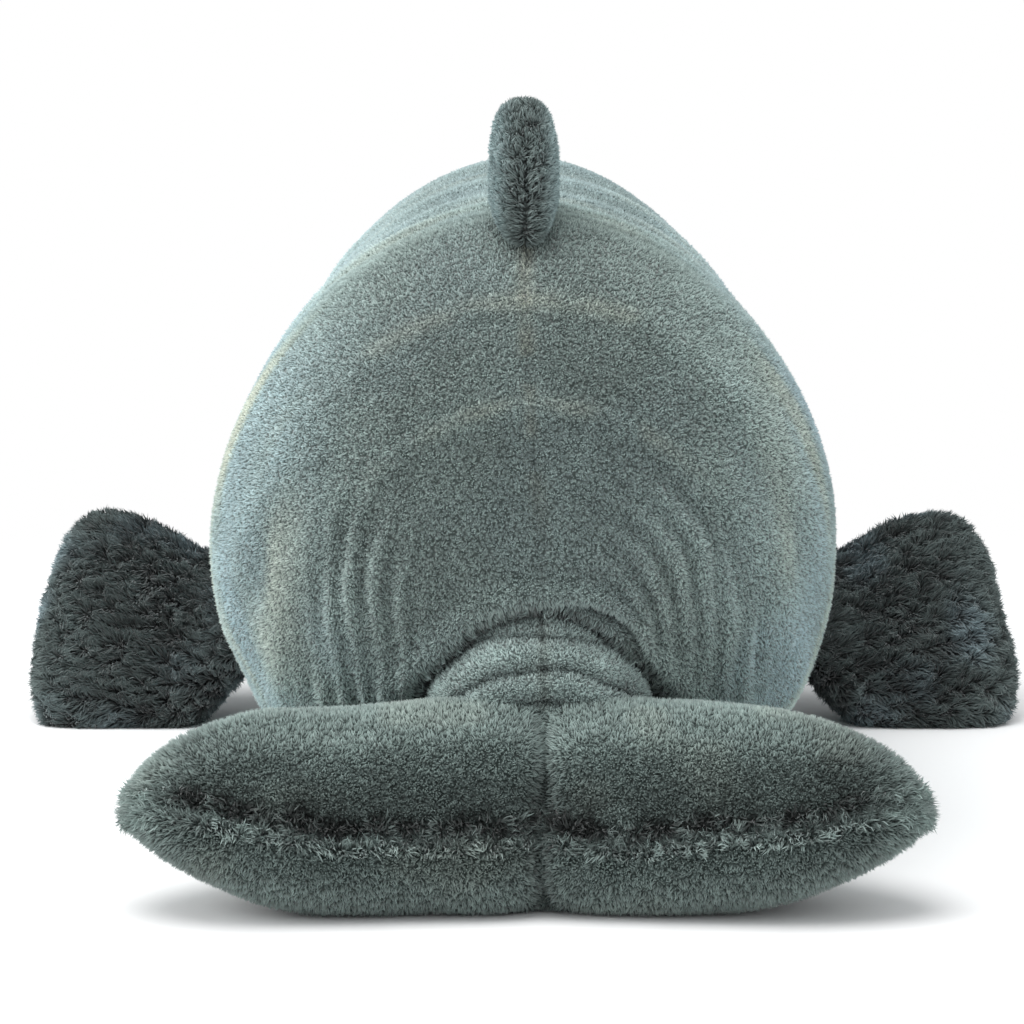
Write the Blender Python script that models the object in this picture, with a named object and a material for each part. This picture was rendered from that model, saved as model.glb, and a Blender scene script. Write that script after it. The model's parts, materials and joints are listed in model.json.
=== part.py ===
"""A plush whale lying on its belly, as the sewn and stuffed pieces that it is made of.

Metres, +Z up, head towards +Y, tail towards -Y. The whale is drawn with the widest part of its
rear at y = 0 and then moved, so that the origin is under the middle of its outline on the ground.
"""

import functools
import math

import bmesh
import bpy
import numpy as np
from mathutils import Matrix, Vector
from mathutils.bvhtree import BVHTree

# Fabric, seams and clearances
SKIN = 0.003
SEAM_GAP = 0.0004
FILL_GAP = 0.0003
SEAT_GAP = 0.0004
FLOOR_CUT = 0.0005
OVERRUN = 0.02

# Body
BODY_WIDTH = 0.217
BODY_HEIGHT = 0.2185
HEAD_WIDTH_SHARE = 0.94
SHOULDER_RISE = 0.006
REAR_DOME = 0.086
BARREL = 0.320
HEAD_DOME = 0.137
REAR_TIP_HEIGHT = 0.115
NOSE_HEIGHT = 0.092
WIDEST_HEIGHT = 0.106
BELLY_SEAM_HEIGHT = 0.030
REAR_ROUNDNESS = 2.2
REAR_RISE_ROUNDNESS = 1.6
HEAD_ROUNDNESS = 2.5
BACK_ROUNDNESS = 1.88
BELLY_ROUNDNESS = 2.2

# Eyes
EYE_PLACE_SHARE = 0.475
EYE_HEIGHT = 0.090
EYE_RADIUS = 0.0065
EYE_RISE = 0.0045
EYE_BRIM = 0.0012
SHANK_RADIUS = 0.0024
SHANK_LENGTH = 0.0105
WASHER_RADIUS = 0.0085
WASHER_THICKNESS = 0.0016
WASHER_DEPTH = 0.0050
WASHER_CLEARANCE = 0.0006

# Dorsal fin
FIN_FRONT = 0.052
FIN_BACK = 0.047
FIN_RISE = 0.0290
FIN_THICKNESS = 0.020
FIN_ROOT_RADIUS = 0.0085
FIN_ROUNDNESS = 2.6
FIN_END_ROUNDNESS = 3.0

# Flippers
FLIPPER_PLACE = 0.213
FLIPPER_ROOT_HEIGHT = 0.046
FLIPPER_REACH = 0.0895
FLIPPER_CHORD = 0.104
FLIPPER_THICKNESS = 0.035
FLIPPER_SWEEP = 0.012
FLIPPER_RAKE_SHARE = 0.10
FLIPPER_ROOT_TILT = math.radians(24)
FLIPPER_TILT = math.radians(44)
FLIPPER_ROOT_ROUNDNESS = 4.0
FLIPPER_TIP_ROUNDNESS = 3.0
FLIPPER_DROOP_SHARE = 0.42
FLIPPER_TIP_SHARE = 0.20

# Tail stock
STOCK_BACK = 0.066
STOCK_HEIGHT = 0.066
STOCK_RADIUS = 0.028
STOCK_WIDTH = 0.074
STOCK_ROUNDNESS = 2.1

# Fluke
FLUKE_BACK = 0.084
FLUKE_SPAN = 0.259
FLUKE_ROOT_RADIUS = 0.0290
FLUKE_MIDDLE_RADIUS = 0.0270
FLUKE_EDGE_RADIUS = 0.0215
FLUKE_MIDDLE_OFFSET = 0.013
FLUKE_EDGE_OFFSET = 0.0265
FLUKE_SWEEP = 0.031
FLUKE_TIP_RISE = 0.030
FLUKE_SEAM_SHARE = 0.35
FLUKE_LIFT = math.radians(30)
FLUKE_END_SHARPNESS = 4.5
FLUKE_END_ROUNDNESS = 1.6
FLUKE_RISE_POWER = 3.2
FLUKE_CHORD_POWER = 3.0

# Shares, from the front of the fin to its rear: place along the fin, rise
FIN_SHARES = ((0.0, 0.0), (0.15, 0.38), (0.34, 0.70), (0.55, 0.92), (0.70, 1.0), (0.84, 0.90),
              (0.94, 0.58), (1.0, 0.0))

# Shares, from the root of the flipper to its tip: place along the reach, chord, thickness, twist
FLIPPER_SHARES = ((0.0, 0.60, 0.80, 0.0), (0.12, 0.66, 0.88, 0.22), (0.28, 0.77, 0.97, 0.66),
                  (0.48, 0.90, 1.0, 0.94), (0.74, 1.0, 0.88, 1.0), (1.0, 1.0, 0.70, 1.0))

# Counts
BODY_SIDES = 20
REAR_RINGS = 5
BARREL_RINGS = 4
HEAD_RINGS = 5
FIN_SIDES = 10
FIN_RINGS = 8
FLIPPER_SIDES = 12
FLIPPER_ROOT_RINGS = 3
FLIPPER_RINGS = 4
FLIPPER_TIP_RINGS = 3
STOCK_SIDES = 16
STOCK_RINGS = 3
FLUKE_SIDES = 16
FLUKE_RINGS = 6
EYE_SIDES = 12
EYE_RINGS = 3
SIDE_SAMPLES = 24

# Colours
BACK_COLOUR = (0.150, 0.195, 0.185)
BELLY_COLOUR = (0.210, 0.250, 0.235)
LIMB_COLOUR = (0.085, 0.110, 0.100)
FLUKE_COLOUR = (0.120, 0.155, 0.145)
FILLING_COLOUR = (0.80, 0.79, 0.76)
EYE_COLOUR = (0.010, 0.010, 0.011)
WASHER_COLOUR = (0.70, 0.70, 0.68)
PILE_ROUGHNESS = 0.95
FILLING_ROUGHNESS = 1.0
EYE_ROUGHNESS = 0.12
WASHER_ROUGHNESS = 0.45

# Places worked out from the sizes
EYE_PLACE = BARREL + HEAD_DOME * EYE_PLACE_SHARE
BACK_FACET_SHARE = math.cos(math.pi / BODY_SIDES) ** (2 / BACK_ROUNDNESS)
BELLY_FACET_SHARE = math.cos(math.pi / BODY_SIDES) ** (2 / BELLY_ROUNDNESS)
FLUKE_FACET_SHARE = math.cos(math.pi / FLUKE_SIDES)
FULL_INSET = SKIN + FILL_GAP
FIN_AXIS_HEIGHT = BODY_HEIGHT + SEAT_GAP + FIN_ROOT_RADIUS
STOCK_AXIS = Vector((0, -STOCK_BACK, STOCK_HEIGHT))
FLUKE_AXIS = Vector((0, -FLUKE_BACK, FLUKE_ROOT_RADIUS))
FIN_AXIS = Vector((0, (FIN_FRONT - FIN_BACK) / 2, FIN_AXIS_HEIGHT))


def clear_scene():
    for item in list(bpy.data.objects):
        bpy.data.objects.remove(item, do_unlink=True)


def material(name, colour, roughness):
    finish = bpy.data.materials.new(name)
    finish.use_nodes = True
    shader = finish.node_tree.nodes["Principled BSDF"]
    shader.inputs["Base Color"].default_value = (*colour, 1)
    shader.inputs["Roughness"].default_value = roughness
    shader.inputs["Metallic"].default_value = 0
    finish.diffuse_color = (*colour, 1)
    return finish


def dome(share, roundness):
    """Height of a rounded end, from 1 at its wide side to 0 at its tip."""
    return max(0.0, 1 - min(1.0, abs(share)) ** roundness) ** (1 / roundness)


def smooth_step(share):
    share = min(1.0, max(0.0, share))
    return share * share * (3 - 2 * share)


def along(table, place, column):
    """Value of one column of a table of shares, on a smooth curve through its rows."""
    places = [row[0] for row in table]
    values = [row[column] for row in table]
    slopes = np.gradient(values, places)
    index = int(np.clip(np.searchsorted(places, place) - 1, 0, len(places) - 2))
    step = places[index + 1] - places[index]
    t = (place - places[index]) / step
    start = (2 * t ** 3 - 3 * t ** 2 + 1) * values[index] + (t ** 3 - 2 * t ** 2 + t) * step * slopes[index]
    end = (3 * t ** 2 - 2 * t ** 3) * values[index + 1] + (t ** 3 - t ** 2) * step * slopes[index + 1]
    return start + end


def rounded(angle, roundness):
    """A point of the unit superellipse."""
    across, up = math.cos(angle), math.sin(angle)
    power = 2 / roundness
    return math.copysign(abs(across) ** power, across), math.copysign(abs(up) ** power, up)


def turn_angles(count):
    return [math.tau * (side + 0.5) / count for side in range(count)]


def new_object(name, builder):
    bmesh.ops.recalc_face_normals(builder, faces=builder.faces)
    mesh = bpy.data.meshes.new(name)
    builder.to_mesh(mesh)
    builder.free()
    piece = bpy.data.objects.new(name, mesh)
    bpy.context.scene.collection.objects.link(piece)
    return piece


def join_loops(builder, first, second):
    """Triangles between two rings, split alike everywhere, so that nested forms keep their gap."""
    for side in range(len(first)):
        after = (side + 1) % len(first)
        builder.faces.new((first[side], first[after], second[after]))
        builder.faces.new((first[side], second[after], second[side]))


def loft(name, rings, start=None, end=None):
    """A closed skin over rings of points, each end drawn to a point or closed by a flat face."""
    builder = bmesh.new()
    loops = [[builder.verts.new(point) for point in ring] for ring in rings]
    for first, second in zip(loops, loops[1:]):
        join_loops(builder, first, second)
    for loop, tip in ((loops[0], start), (loops[-1], end)):
        if tip is None:
            builder.faces.new(loop)
            continue
        point = builder.verts.new(tip)
        for side in range(len(loop)):
            builder.faces.new((loop[side], loop[(side + 1) % len(loop)], point))
    return new_object(name, builder)


def block(low, high):
    """A plain box between two corners, used to split and trim."""
    builder = bmesh.new()
    bmesh.ops.create_cube(builder, size=1)
    size = Vector(high) - Vector(low)
    bmesh.ops.scale(builder, vec=size, verts=builder.verts)
    bmesh.ops.translate(builder, vec=(Vector(high) + Vector(low)) / 2, verts=builder.verts)
    return new_object("block", builder)


def cut(piece, cutter):
    """Cut a piece with another body, which is used up."""
    modifier = piece.modifiers.new("cut", "BOOLEAN")
    modifier.object = cutter
    modifier.operation = "DIFFERENCE"
    modifier.solver = "EXACT"
    bpy.context.view_layer.update()
    evaluated = piece.evaluated_get(bpy.context.evaluated_depsgraph_get())
    result = bpy.data.meshes.new_from_object(evaluated)
    piece.modifiers.clear()
    piece.data = result
    bpy.data.objects.remove(cutter, do_unlink=True)


def shell(name, form, rest):
    """The fabric between a form and its inside, less the bodies that belong to the other panels."""
    piece = form(name, 0)
    cut(piece, form("inside", SKIN))
    for other in rest:
        cut(piece, other)
    return piece


def body_section(y, inset):
    """Half width, top, bottom and height of the widest line of the body at one place."""
    if y < 0:
        share = -y / (REAR_DOME - inset)
        size, rise, tip = dome(share, REAR_ROUNDNESS), dome(share, REAR_RISE_ROUNDNESS), REAR_TIP_HEIGHT
    else:
        share = max(0.0, y - BARREL) / (HEAD_DOME - inset)
        size, tip = dome(share, HEAD_ROUNDNESS), NOSE_HEIGHT
        rise = size
    forward = smooth_step(y / BARREL)
    half_width = (BODY_WIDTH / 2 * (1 - (1 - HEAD_WIDTH_SHARE) * forward) - inset) * size
    top = tip + (BODY_HEIGHT + SHOULDER_RISE * forward - inset - tip) * size
    bottom = tip - (tip + FLOOR_CUT - inset) * rise
    widest = tip + (WIDEST_HEIGHT - tip) * rise
    return half_width, top, bottom, widest


def body_point(y, angle, inset=0):
    half_width, top, bottom, widest = body_section(y, inset)
    roundness = BACK_ROUNDNESS if math.sin(angle) > 0 else BELLY_ROUNDNESS
    across, up = rounded(angle, roundness)
    reach = (top - widest) / BACK_FACET_SHARE if up > 0 else (widest - bottom) / BELLY_FACET_SHARE
    return Vector((half_width * across, y, widest + reach * up))


def body_form(name, inset):
    rear, head = REAR_DOME - inset, HEAD_DOME - inset
    quarter = math.pi / 2
    places = [-rear * math.cos(quarter * ring / REAR_RINGS) for ring in range(1, REAR_RINGS)]
    places += [BARREL * ring / BARREL_RINGS for ring in range(BARREL_RINGS)]
    places += [BARREL + head * math.sin(quarter * ring / HEAD_RINGS) for ring in range(HEAD_RINGS)]
    rings = [[body_point(y, angle, inset) for angle in turn_angles(BODY_SIDES)] for y in places]
    return loft(name, rings, (0, -rear, REAR_TIP_HEIGHT), (0, BARREL + head, NOSE_HEIGHT))


@functools.cache
def body_surface():
    """The facets of the body's outside, to seat other pieces on."""
    form = body_form("surface", 0)
    points = [vertex.co.copy() for vertex in form.data.vertices]
    surface = BVHTree.FromPolygons(points, [tuple(face.vertices) for face in form.data.polygons])
    bpy.data.objects.remove(form, do_unlink=True)
    return surface


def body_side(y, height, side):
    """Point and outward direction of the body's side at one place and height."""
    start = Vector((side * BODY_WIDTH, y, height))
    point, outward, _, _ = body_surface().ray_cast(start, Vector((-side, 0, 0)))
    return point, outward


def above(height):
    """Everything over a height."""
    reach = BODY_WIDTH + FLIPPER_REACH
    length = BARREL + HEAD_DOME + REAR_DOME
    return block((-reach, -length, height), (reach, length, BODY_HEIGHT + OVERRUN))


def below(height):
    """Everything under a height."""
    reach = BODY_WIDTH + FLIPPER_REACH
    length = BARREL + HEAD_DOME + REAR_DOME
    return block((-reach, -length, -OVERRUN), (reach, length, height))


def beside(side):
    """Everything to one side of the middle seam, and the seam's own gap."""
    reach = BODY_WIDTH + FLIPPER_REACH
    length = BARREL + HEAD_DOME + REAR_DOME
    near, far = -side * SEAM_GAP / 2, side * reach
    low, high = min(near, far), max(near, far)
    return block((low, -length, -OVERRUN), (high, length, BODY_HEIGHT + FIN_RISE + OVERRUN))


def stock_form(name, inset, spread=1.0):
    """The ball of the tail stock. A spread holds its corners off the facets of a hollow round it."""
    radius, reach = (STOCK_RADIUS - inset) * spread, STOCK_WIDTH / 2 - inset
    rings = []
    for ring in range(1 - STOCK_RINGS, STOCK_RINGS):
        x = reach * math.sin(math.pi / 2 * ring / STOCK_RINGS)
        size = radius * dome(x / reach, STOCK_ROUNDNESS)
        rings.append([STOCK_AXIS + Vector((x, size * math.cos(angle), size * math.sin(angle)))
                      for angle in turn_angles(STOCK_SIDES)])
    return loft(name, rings, STOCK_AXIS - Vector((reach, 0, 0)), STOCK_AXIS + Vector((reach, 0, 0)))


def drawn_in(radius, inset):
    """A radius less an inset, which fades out where the form is too thin to hold it."""
    return radius - inset * min(1.0, radius / (3 * SKIN))


def fluke_circles(x):
    """Centre and radius of the three circles that the fluke's section is stretched over."""
    share = min(1.0, abs(x) / (FLUKE_SPAN / 2))
    size = dome(share, FLUKE_END_SHARPNESS) ** (FLUKE_END_SHARPNESS / FLUKE_END_ROUNDNESS)
    chord = math.sqrt(max(0.0, 1 - share ** FLUKE_CHORD_POWER))
    rise = FLUKE_TIP_RISE * share ** FLUKE_RISE_POWER
    root = -FLUKE_BACK - FLUKE_SWEEP * share ** 2
    circles = [(root, FLUKE_ROOT_RADIUS * size + rise, FLUKE_ROOT_RADIUS * size)]
    for offset, radius in ((FLUKE_MIDDLE_OFFSET, FLUKE_MIDDLE_RADIUS), (FLUKE_EDGE_OFFSET, FLUKE_EDGE_RADIUS)):
        height = radius * size * FLUKE_FACET_SHARE - FLOOR_CUT + rise
        circles.append((root - offset * chord, height, radius * size))
    return circles


def fluke_places():
    """The same places for every layer, so that the layers' facets lie over each other."""
    reach = FLUKE_SPAN / 2 - FULL_INSET
    return [reach * math.sin(math.pi / 2 * ring / FLUKE_RINGS) for ring in range(1 - FLUKE_RINGS, FLUKE_RINGS)]


def fluke_ring(x, inset):
    circles = fluke_circles(x)
    ring = []
    for angle in turn_angles(FLUKE_SIDES):
        y_way, z_way = math.cos(angle), math.sin(angle)
        y, z, radius = max(circles, key=lambda c: c[0] * y_way + c[1] * z_way + c[2])
        radius = drawn_in(radius, inset)
        ring.append(Vector((x, y + radius * y_way, z + radius * z_way)))
    return ring


def fluke_form(name, inset, lift=0.0):
    reach = FLUKE_SPAN / 2 - inset
    rings = [fluke_ring(x, inset) for x in fluke_places()]
    tip_y, tip_z, _ = fluke_circles(FLUKE_SPAN / 2 - FULL_INSET)[1]
    piece = loft(name, rings, (-reach, tip_y, tip_z), (reach, tip_y, tip_z))
    if lift:
        turn = Matrix.Translation(FLUKE_AXIS) @ Matrix.Rotation(-lift, 4, "X") @ Matrix.Translation(-FLUKE_AXIS)
        piece.data.transform(turn)
    return piece


def fluke_half(side):
    """Everything over or under the seam round the fluke's edge, and the seam's own gap."""
    rings = []
    reach = FLUKE_SPAN / 2 + OVERRUN
    for x in [-reach, *fluke_places(), reach]:
        root, _, edge = fluke_circles(x)
        front, rear = root[0] + root[2] + OVERRUN, edge[0] - edge[2] - OVERRUN
        seam = edge[1] + edge[2] * FLUKE_SEAM_SHARE
        slope = (seam - root[1]) / (edge[0] - root[0]) if edge[0] != root[0] else 0
        near, far = -side * SEAM_GAP / 2, side * (FLUKE_ROOT_RADIUS * 2 + OVERRUN)
        front_z, rear_z = root[1] + slope * (front - root[0]), root[1] + slope * (rear - root[0])
        rings.append([Vector((x, front, front_z + near)), Vector((x, rear, rear_z + near)),
                      Vector((x, rear, rear_z + far)), Vector((x, front, front_z + far))])
    return loft("half", rings)


def fin_form(name, inset):
    """The dorsal fin. Its root is round about the line that it flops on, and follows the back."""
    front, rear = FIN_FRONT - FULL_INSET, FULL_INSET - FIN_BACK
    rings = []
    for ring in range(1, FIN_RINGS):
        y = front + (rear - front) * (1 - math.cos(math.pi * ring / FIN_RINGS)) / 2
        share = (FIN_FRONT - y) / (FIN_FRONT + FIN_BACK)
        seat = FIN_AXIS_HEIGHT - SEAT_GAP - body_section(y, 0)[1]
        end = dome(2 * share - 1, FIN_END_ROUNDNESS)
        root = seat * end
        width = min(root, FIN_THICKNESS / 2 * end)
        rise = width + (BODY_HEIGHT + FIN_RISE - FIN_AXIS_HEIGHT) * along(FIN_SHARES, share, 1)
        width, root, rise = drawn_in(width, inset), drawn_in(root, inset), drawn_in(rise, inset)
        points = []
        for angle in turn_angles(FIN_SIDES):
            across, up = rounded(angle, FIN_ROUNDNESS if math.sin(angle) > 0 else 2)
            points.append(Vector((width * across, y, FIN_AXIS_HEIGHT + (rise if up > 0 else root) * up)))
        rings.append(points)
    return loft(name, rings, (0, FIN_FRONT - inset, FIN_AXIS_HEIGHT), (0, inset - FIN_BACK, FIN_AXIS_HEIGHT))


def flipper_root_radius():
    return FLIPPER_THICKNESS / 2 * FLIPPER_SHARES[0][2]


@functools.cache
def flipper_axis(side):
    """The middle of the line that the flipper lifts on, which keeps the whole root off the body."""
    start = Vector((0, FLIPPER_PLACE, FLIPPER_ROOT_HEIGHT))
    reach = 0.0
    for step in range(SIDE_SAMPLES):
        place = -math.cos(math.pi / 2 * (step + 1) / SIDE_SAMPLES)
        away, y, z, half_chord, half_thickness = flipper_section(place, start, 0)
        chord, up = flipper_directions(place, side)
        for angle in turn_angles(SIDE_SAMPLES):
            offset = chord * half_chord * math.cos(angle) + up * half_thickness * math.sin(angle)
            point, outward = body_side(y + offset.y, z + offset.z, side)
            reach = max(reach, abs(point.x) - away + SEAT_GAP / abs(outward.x))
    return Vector((side * reach, FLIPPER_PLACE, FLIPPER_ROOT_HEIGHT))


def flipper_tilt(share):
    twist = along(FLIPPER_SHARES, share, 3)
    return FLIPPER_ROOT_TILT + (FLIPPER_TILT - FLIPPER_ROOT_TILT) * twist


def flipper_directions(place, side):
    """Directions of the flipper's chord, which rakes its tip outwards at the rear, and of its thickness."""
    share = max(0.0, place)
    tilt = flipper_tilt(share)
    chord = Vector((-side * FLIPPER_RAKE_SHARE * share, math.cos(tilt), math.sin(tilt)))
    return chord, Vector((0, -math.sin(tilt), math.cos(tilt)))


def flipper_section(place, axis, inset):
    """Centre, half chord and half thickness of the flipper, place from -1 at the root's end to 1."""
    share = max(0.0, place) * (1 - inset / FLIPPER_REACH)
    half_chord = FLIPPER_CHORD / 2 * along(FLIPPER_SHARES, share, 1)
    half_thickness = FLIPPER_THICKNESS / 2 * along(FLIPPER_SHARES, share, 2)
    tilt = flipper_tilt(share)
    droop = smooth_step(share / FLIPPER_DROOP_SHARE)
    reach_down, rise = half_chord * math.sin(tilt), half_thickness * math.cos(tilt)
    drop = max(reach_down * math.cos(angle) + rise * math.sin(angle) for angle in turn_angles(FLIPPER_SIDES))
    height = axis.z + (drop - FLOOR_CUT - axis.z) * droop
    half_chord, half_thickness = drawn_in(half_chord, inset), drawn_in(half_thickness, inset)
    if place < 0:
        half_chord *= dome(place, FLIPPER_ROOT_ROUNDNESS)
        half_thickness *= dome(place, 2)
        away = place * (flipper_root_radius() - inset)
    else:
        end = dome((share - 1 + FLIPPER_TIP_SHARE) / FLIPPER_TIP_SHARE, FLIPPER_TIP_ROUNDNESS) \
            if share > 1 - FLIPPER_TIP_SHARE else 1.0
        half_chord *= end
        half_thickness *= end
        away = share * FLIPPER_REACH
    centre_y = axis.y + FLIPPER_SWEEP * share
    return away, centre_y, height, half_chord, half_thickness


def flipper_places():
    quarter = math.pi / 2
    places = [-math.cos(quarter * ring / FLIPPER_ROOT_RINGS) for ring in range(1, FLIPPER_ROOT_RINGS)]
    straight = 1 - FLIPPER_TIP_SHARE
    places += [straight * ring / FLIPPER_RINGS for ring in range(FLIPPER_RINGS)]
    places += [straight + FLIPPER_TIP_SHARE * math.sin(quarter * ring / FLIPPER_TIP_RINGS)
               for ring in range(FLIPPER_TIP_RINGS)]
    return places


def flipper_frame(place, side, inset):
    """Centre of a flipper section with its chord and its thickness as directions."""
    axis = flipper_axis(side)
    away, y, z, half_chord, half_thickness = flipper_section(place, axis, inset)
    centre = Vector((axis.x + side * away, y, z))
    chord, up = flipper_directions(place, side)
    return centre, chord * half_chord, up * half_thickness


def flipper_form(name, inset, side):
    rings = []
    for place in flipper_places():
        centre, chord, up = flipper_frame(place, side, inset)
        rings.append([centre + chord * math.cos(angle) + up * math.sin(angle)
                      for angle in turn_angles(FLIPPER_SIDES)])
    return loft(name, rings, flipper_frame(-1, side, inset)[0], flipper_frame(1, side, inset)[0])


def flipper_half(side, way):
    """Everything over or under the seam round the flipper's edge, and the seam's own gap."""
    rings = []
    for place in [-1, *flipper_places(), 1]:
        centre, _, _ = flipper_frame(place, side, 0)
        chord, up = flipper_directions(place, side)
        chord = chord * (FLIPPER_CHORD / 2 + OVERRUN)
        near, far = up * -way * SEAM_GAP / 2, up * way * (FLIPPER_THICKNESS / 2 + OVERRUN)
        rings.append([centre - chord + near, centre + chord + near, centre + chord + far, centre - chord + far])
    for ring, way_out in ((rings[0], -1), (rings[-1], 1)):
        for point in ring:
            point.x += side * way_out * OVERRUN
    return loft("half", rings)


def turned(name, profile, place, outward):
    """A solid of revolution: radius and height pairs, with both ends on its axis."""
    turn = Vector((0, 0, 1)).rotation_difference(outward).to_matrix()
    rings = [[place + turn @ Vector((radius * math.cos(angle), radius * math.sin(angle), height))
              for angle in turn_angles(EYE_SIDES)] for radius, height in profile]
    if profile[0] == profile[-1]:
        return ring_of(name, rings)
    ends = [place + turn @ Vector((0, 0, profile[end][1])) for end in (0, -1)]
    return loft(name, rings, *ends)


def ring_of(name, rings):
    """A ring whose profile closes on itself."""
    builder = bmesh.new()
    loops = [[builder.verts.new(point) for point in ring] for ring in rings[:-1]]
    for first, second in zip(loops, loops[1:] + loops[:1]):
        join_loops(builder, first, second)
    return new_object(name, builder)


def eye(name, side):
    """A domed button with a brim on the fabric and a shank through it."""
    place, outward = body_side(EYE_PLACE, EYE_HEIGHT, side)
    seat = SEAT_GAP
    profile = [(SHANK_RADIUS, seat - SHANK_LENGTH), (SHANK_RADIUS, seat), (EYE_RADIUS, seat),
               (EYE_RADIUS, seat + EYE_BRIM)]
    for ring in range(1, EYE_RINGS):
        angle = math.pi / 2 * ring / EYE_RINGS
        profile.append((EYE_RADIUS * math.cos(angle), seat + EYE_BRIM + EYE_RISE * math.sin(angle)))
    return turned(name, profile, place, outward)


def eye_washer(name, side):
    place, outward = body_side(EYE_PLACE, EYE_HEIGHT, side)
    hole, top = SHANK_RADIUS + FILL_GAP, -WASHER_DEPTH
    bottom = top - WASHER_THICKNESS
    profile = [(hole, bottom), (hole, top), (WASHER_RADIUS, top), (WASHER_RADIUS, bottom), (hole, bottom)]
    return turned(name, profile, place, outward)


def eye_hole(side):
    """The hole that the shank passes through in the fabric."""
    place, outward = body_side(EYE_PLACE, EYE_HEIGHT, side)
    radius = SHANK_RADIUS + FILL_GAP
    return turned("hole", [(radius, -WASHER_DEPTH - OVERRUN), (radius, OVERRUN)], place, outward)


def eye_pocket(side):
    """The room in the stuffing for the washer and the end of the shank."""
    place, outward = body_side(EYE_PLACE, EYE_HEIGHT, side)
    radius = WASHER_RADIUS + WASHER_CLEARANCE
    return turned("pocket", [(radius, -SHANK_LENGTH - WASHER_CLEARANCE), (radius, OVERRUN)], place, outward)


def stock_socket(clearance):
    return stock_form("socket", -clearance, 1 / math.cos(math.pi / STOCK_SIDES))


def make_body():
    seam = BELLY_SEAM_HEIGHT
    pieces = {}
    for word, side in (("left", -1), ("right", 1)):
        name = "body_panel_" + word
        panel = shell(name, body_form, (below(seam + SEAM_GAP / 2), beside(-side)))
        cut(panel, stock_socket(SEAT_GAP))
        cut(panel, eye_hole(side))
        pieces[name] = panel
    belly = shell("belly_panel", body_form, (above(seam - SEAM_GAP / 2), below(0)))
    cut(belly, stock_socket(SEAT_GAP))
    pieces["belly_panel"] = belly
    filling = body_form("body_stuffing", FULL_INSET)
    cut(filling, stock_socket(SEAT_GAP + FILL_GAP))
    for side in (-1, 1):
        cut(filling, eye_pocket(side))
    pieces["body_stuffing"] = filling
    for word, side in (("left", -1), ("right", 1)):
        pieces["eye_" + word] = eye("eye_" + word, side)
        pieces["eye_washer_" + word] = eye_washer("eye_washer_" + word, side)
    return pieces


def make_dorsal_fin():
    pieces = {}
    for word, side in (("left", -1), ("right", 1)):
        name = "dorsal_fin_panel_" + word
        pieces[name] = shell(name, fin_form, (beside(-side),))
    pieces["dorsal_fin_stuffing"] = fin_form("dorsal_fin_stuffing", FULL_INSET)
    return pieces


def make_flipper(word, side):
    def form(name, inset):
        return flipper_form(name, inset, side)

    prefix = "flipper_" + word
    pieces = {}
    for part, way in (("_top_panel", 1), ("_under_panel", -1)):
        panel = shell(prefix + part, form, (below(0), flipper_half(side, -way)))
        pieces[prefix + part] = panel
    pieces[prefix + "_stuffing"] = form(prefix + "_stuffing", FULL_INSET)
    return pieces


def cut_for_fluke(piece, clearance):
    """Hollow a piece where the fluke's root nests in it and where the fluke lifts."""
    cut(piece, fluke_form("root", -clearance))
    cut(piece, fluke_form("raised", -clearance, FLUKE_LIFT))


def make_tail_stock():
    pieces = {}
    for word, side in (("left", -1), ("right", 1)):
        name = "tail_stock_panel_" + word
        panel = shell(name, stock_form, (beside(-side),))
        cut_for_fluke(panel, SEAT_GAP)
        pieces[name] = panel
    filling = stock_form("tail_stock_stuffing", FULL_INSET)
    cut_for_fluke(filling, SEAT_GAP + FILL_GAP)
    pieces["tail_stock_stuffing"] = filling
    return pieces


def make_fluke():
    pieces = {}
    for part, way in (("fluke_upper_panel", 1), ("fluke_lower_panel", -1)):
        pieces[part] = shell(part, fluke_form, (below(0), fluke_half(-way)))
    pieces["fluke_stuffing"] = fluke_form("fluke_stuffing", FULL_INSET)
    return pieces


def colour_of(name):
    if "stuffing" in name:
        return FILLING_COLOUR, FILLING_ROUGHNESS
    if "washer" in name:
        return WASHER_COLOUR, WASHER_ROUGHNESS
    if name.startswith("eye"):
        return EYE_COLOUR, EYE_ROUGHNESS
    if name.startswith("belly"):
        return BELLY_COLOUR, PILE_ROUGHNESS
    if name.startswith("flipper"):
        return LIMB_COLOUR, PILE_ROUGHNESS
    if name.startswith("fluke"):
        return FLUKE_COLOUR, PILE_ROUGHNESS
    return BACK_COLOUR, PILE_ROUGHNESS


def finish(piece):
    """Give a piece its smooth shading and its own material."""
    piece.data.materials.clear()
    piece.data.materials.append(material(piece.name, *colour_of(piece.name)))
    piece.data.shade_smooth()
    piece.data.set_sharp_from_angle(angle=math.radians(50))


def outline_centre(groups):
    """The point of the ground under the middle of the whale's length."""
    places = [vertex.co.y for _, pieces in groups.values() for piece in pieces.values()
              for vertex in piece.data.vertices]
    return Vector((0, (min(places) + max(places)) / 2, 0))


def hang_on_axis(name, axis, pieces, centre):
    """Move pieces to the origin's frame and hang them on the line that they turn on."""
    anchor = axis - centre
    if axis.length:
        holder = bpy.data.objects.new(name + "_axis", None)
        bpy.context.scene.collection.objects.link(holder)
        holder.location = anchor
    for piece in pieces.values():
        if axis.length:
            piece.data.transform(Matrix.Translation(-axis))
            piece.parent = holder
        else:
            piece.data.transform(Matrix.Translation(-centre))
        finish(piece)


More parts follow.
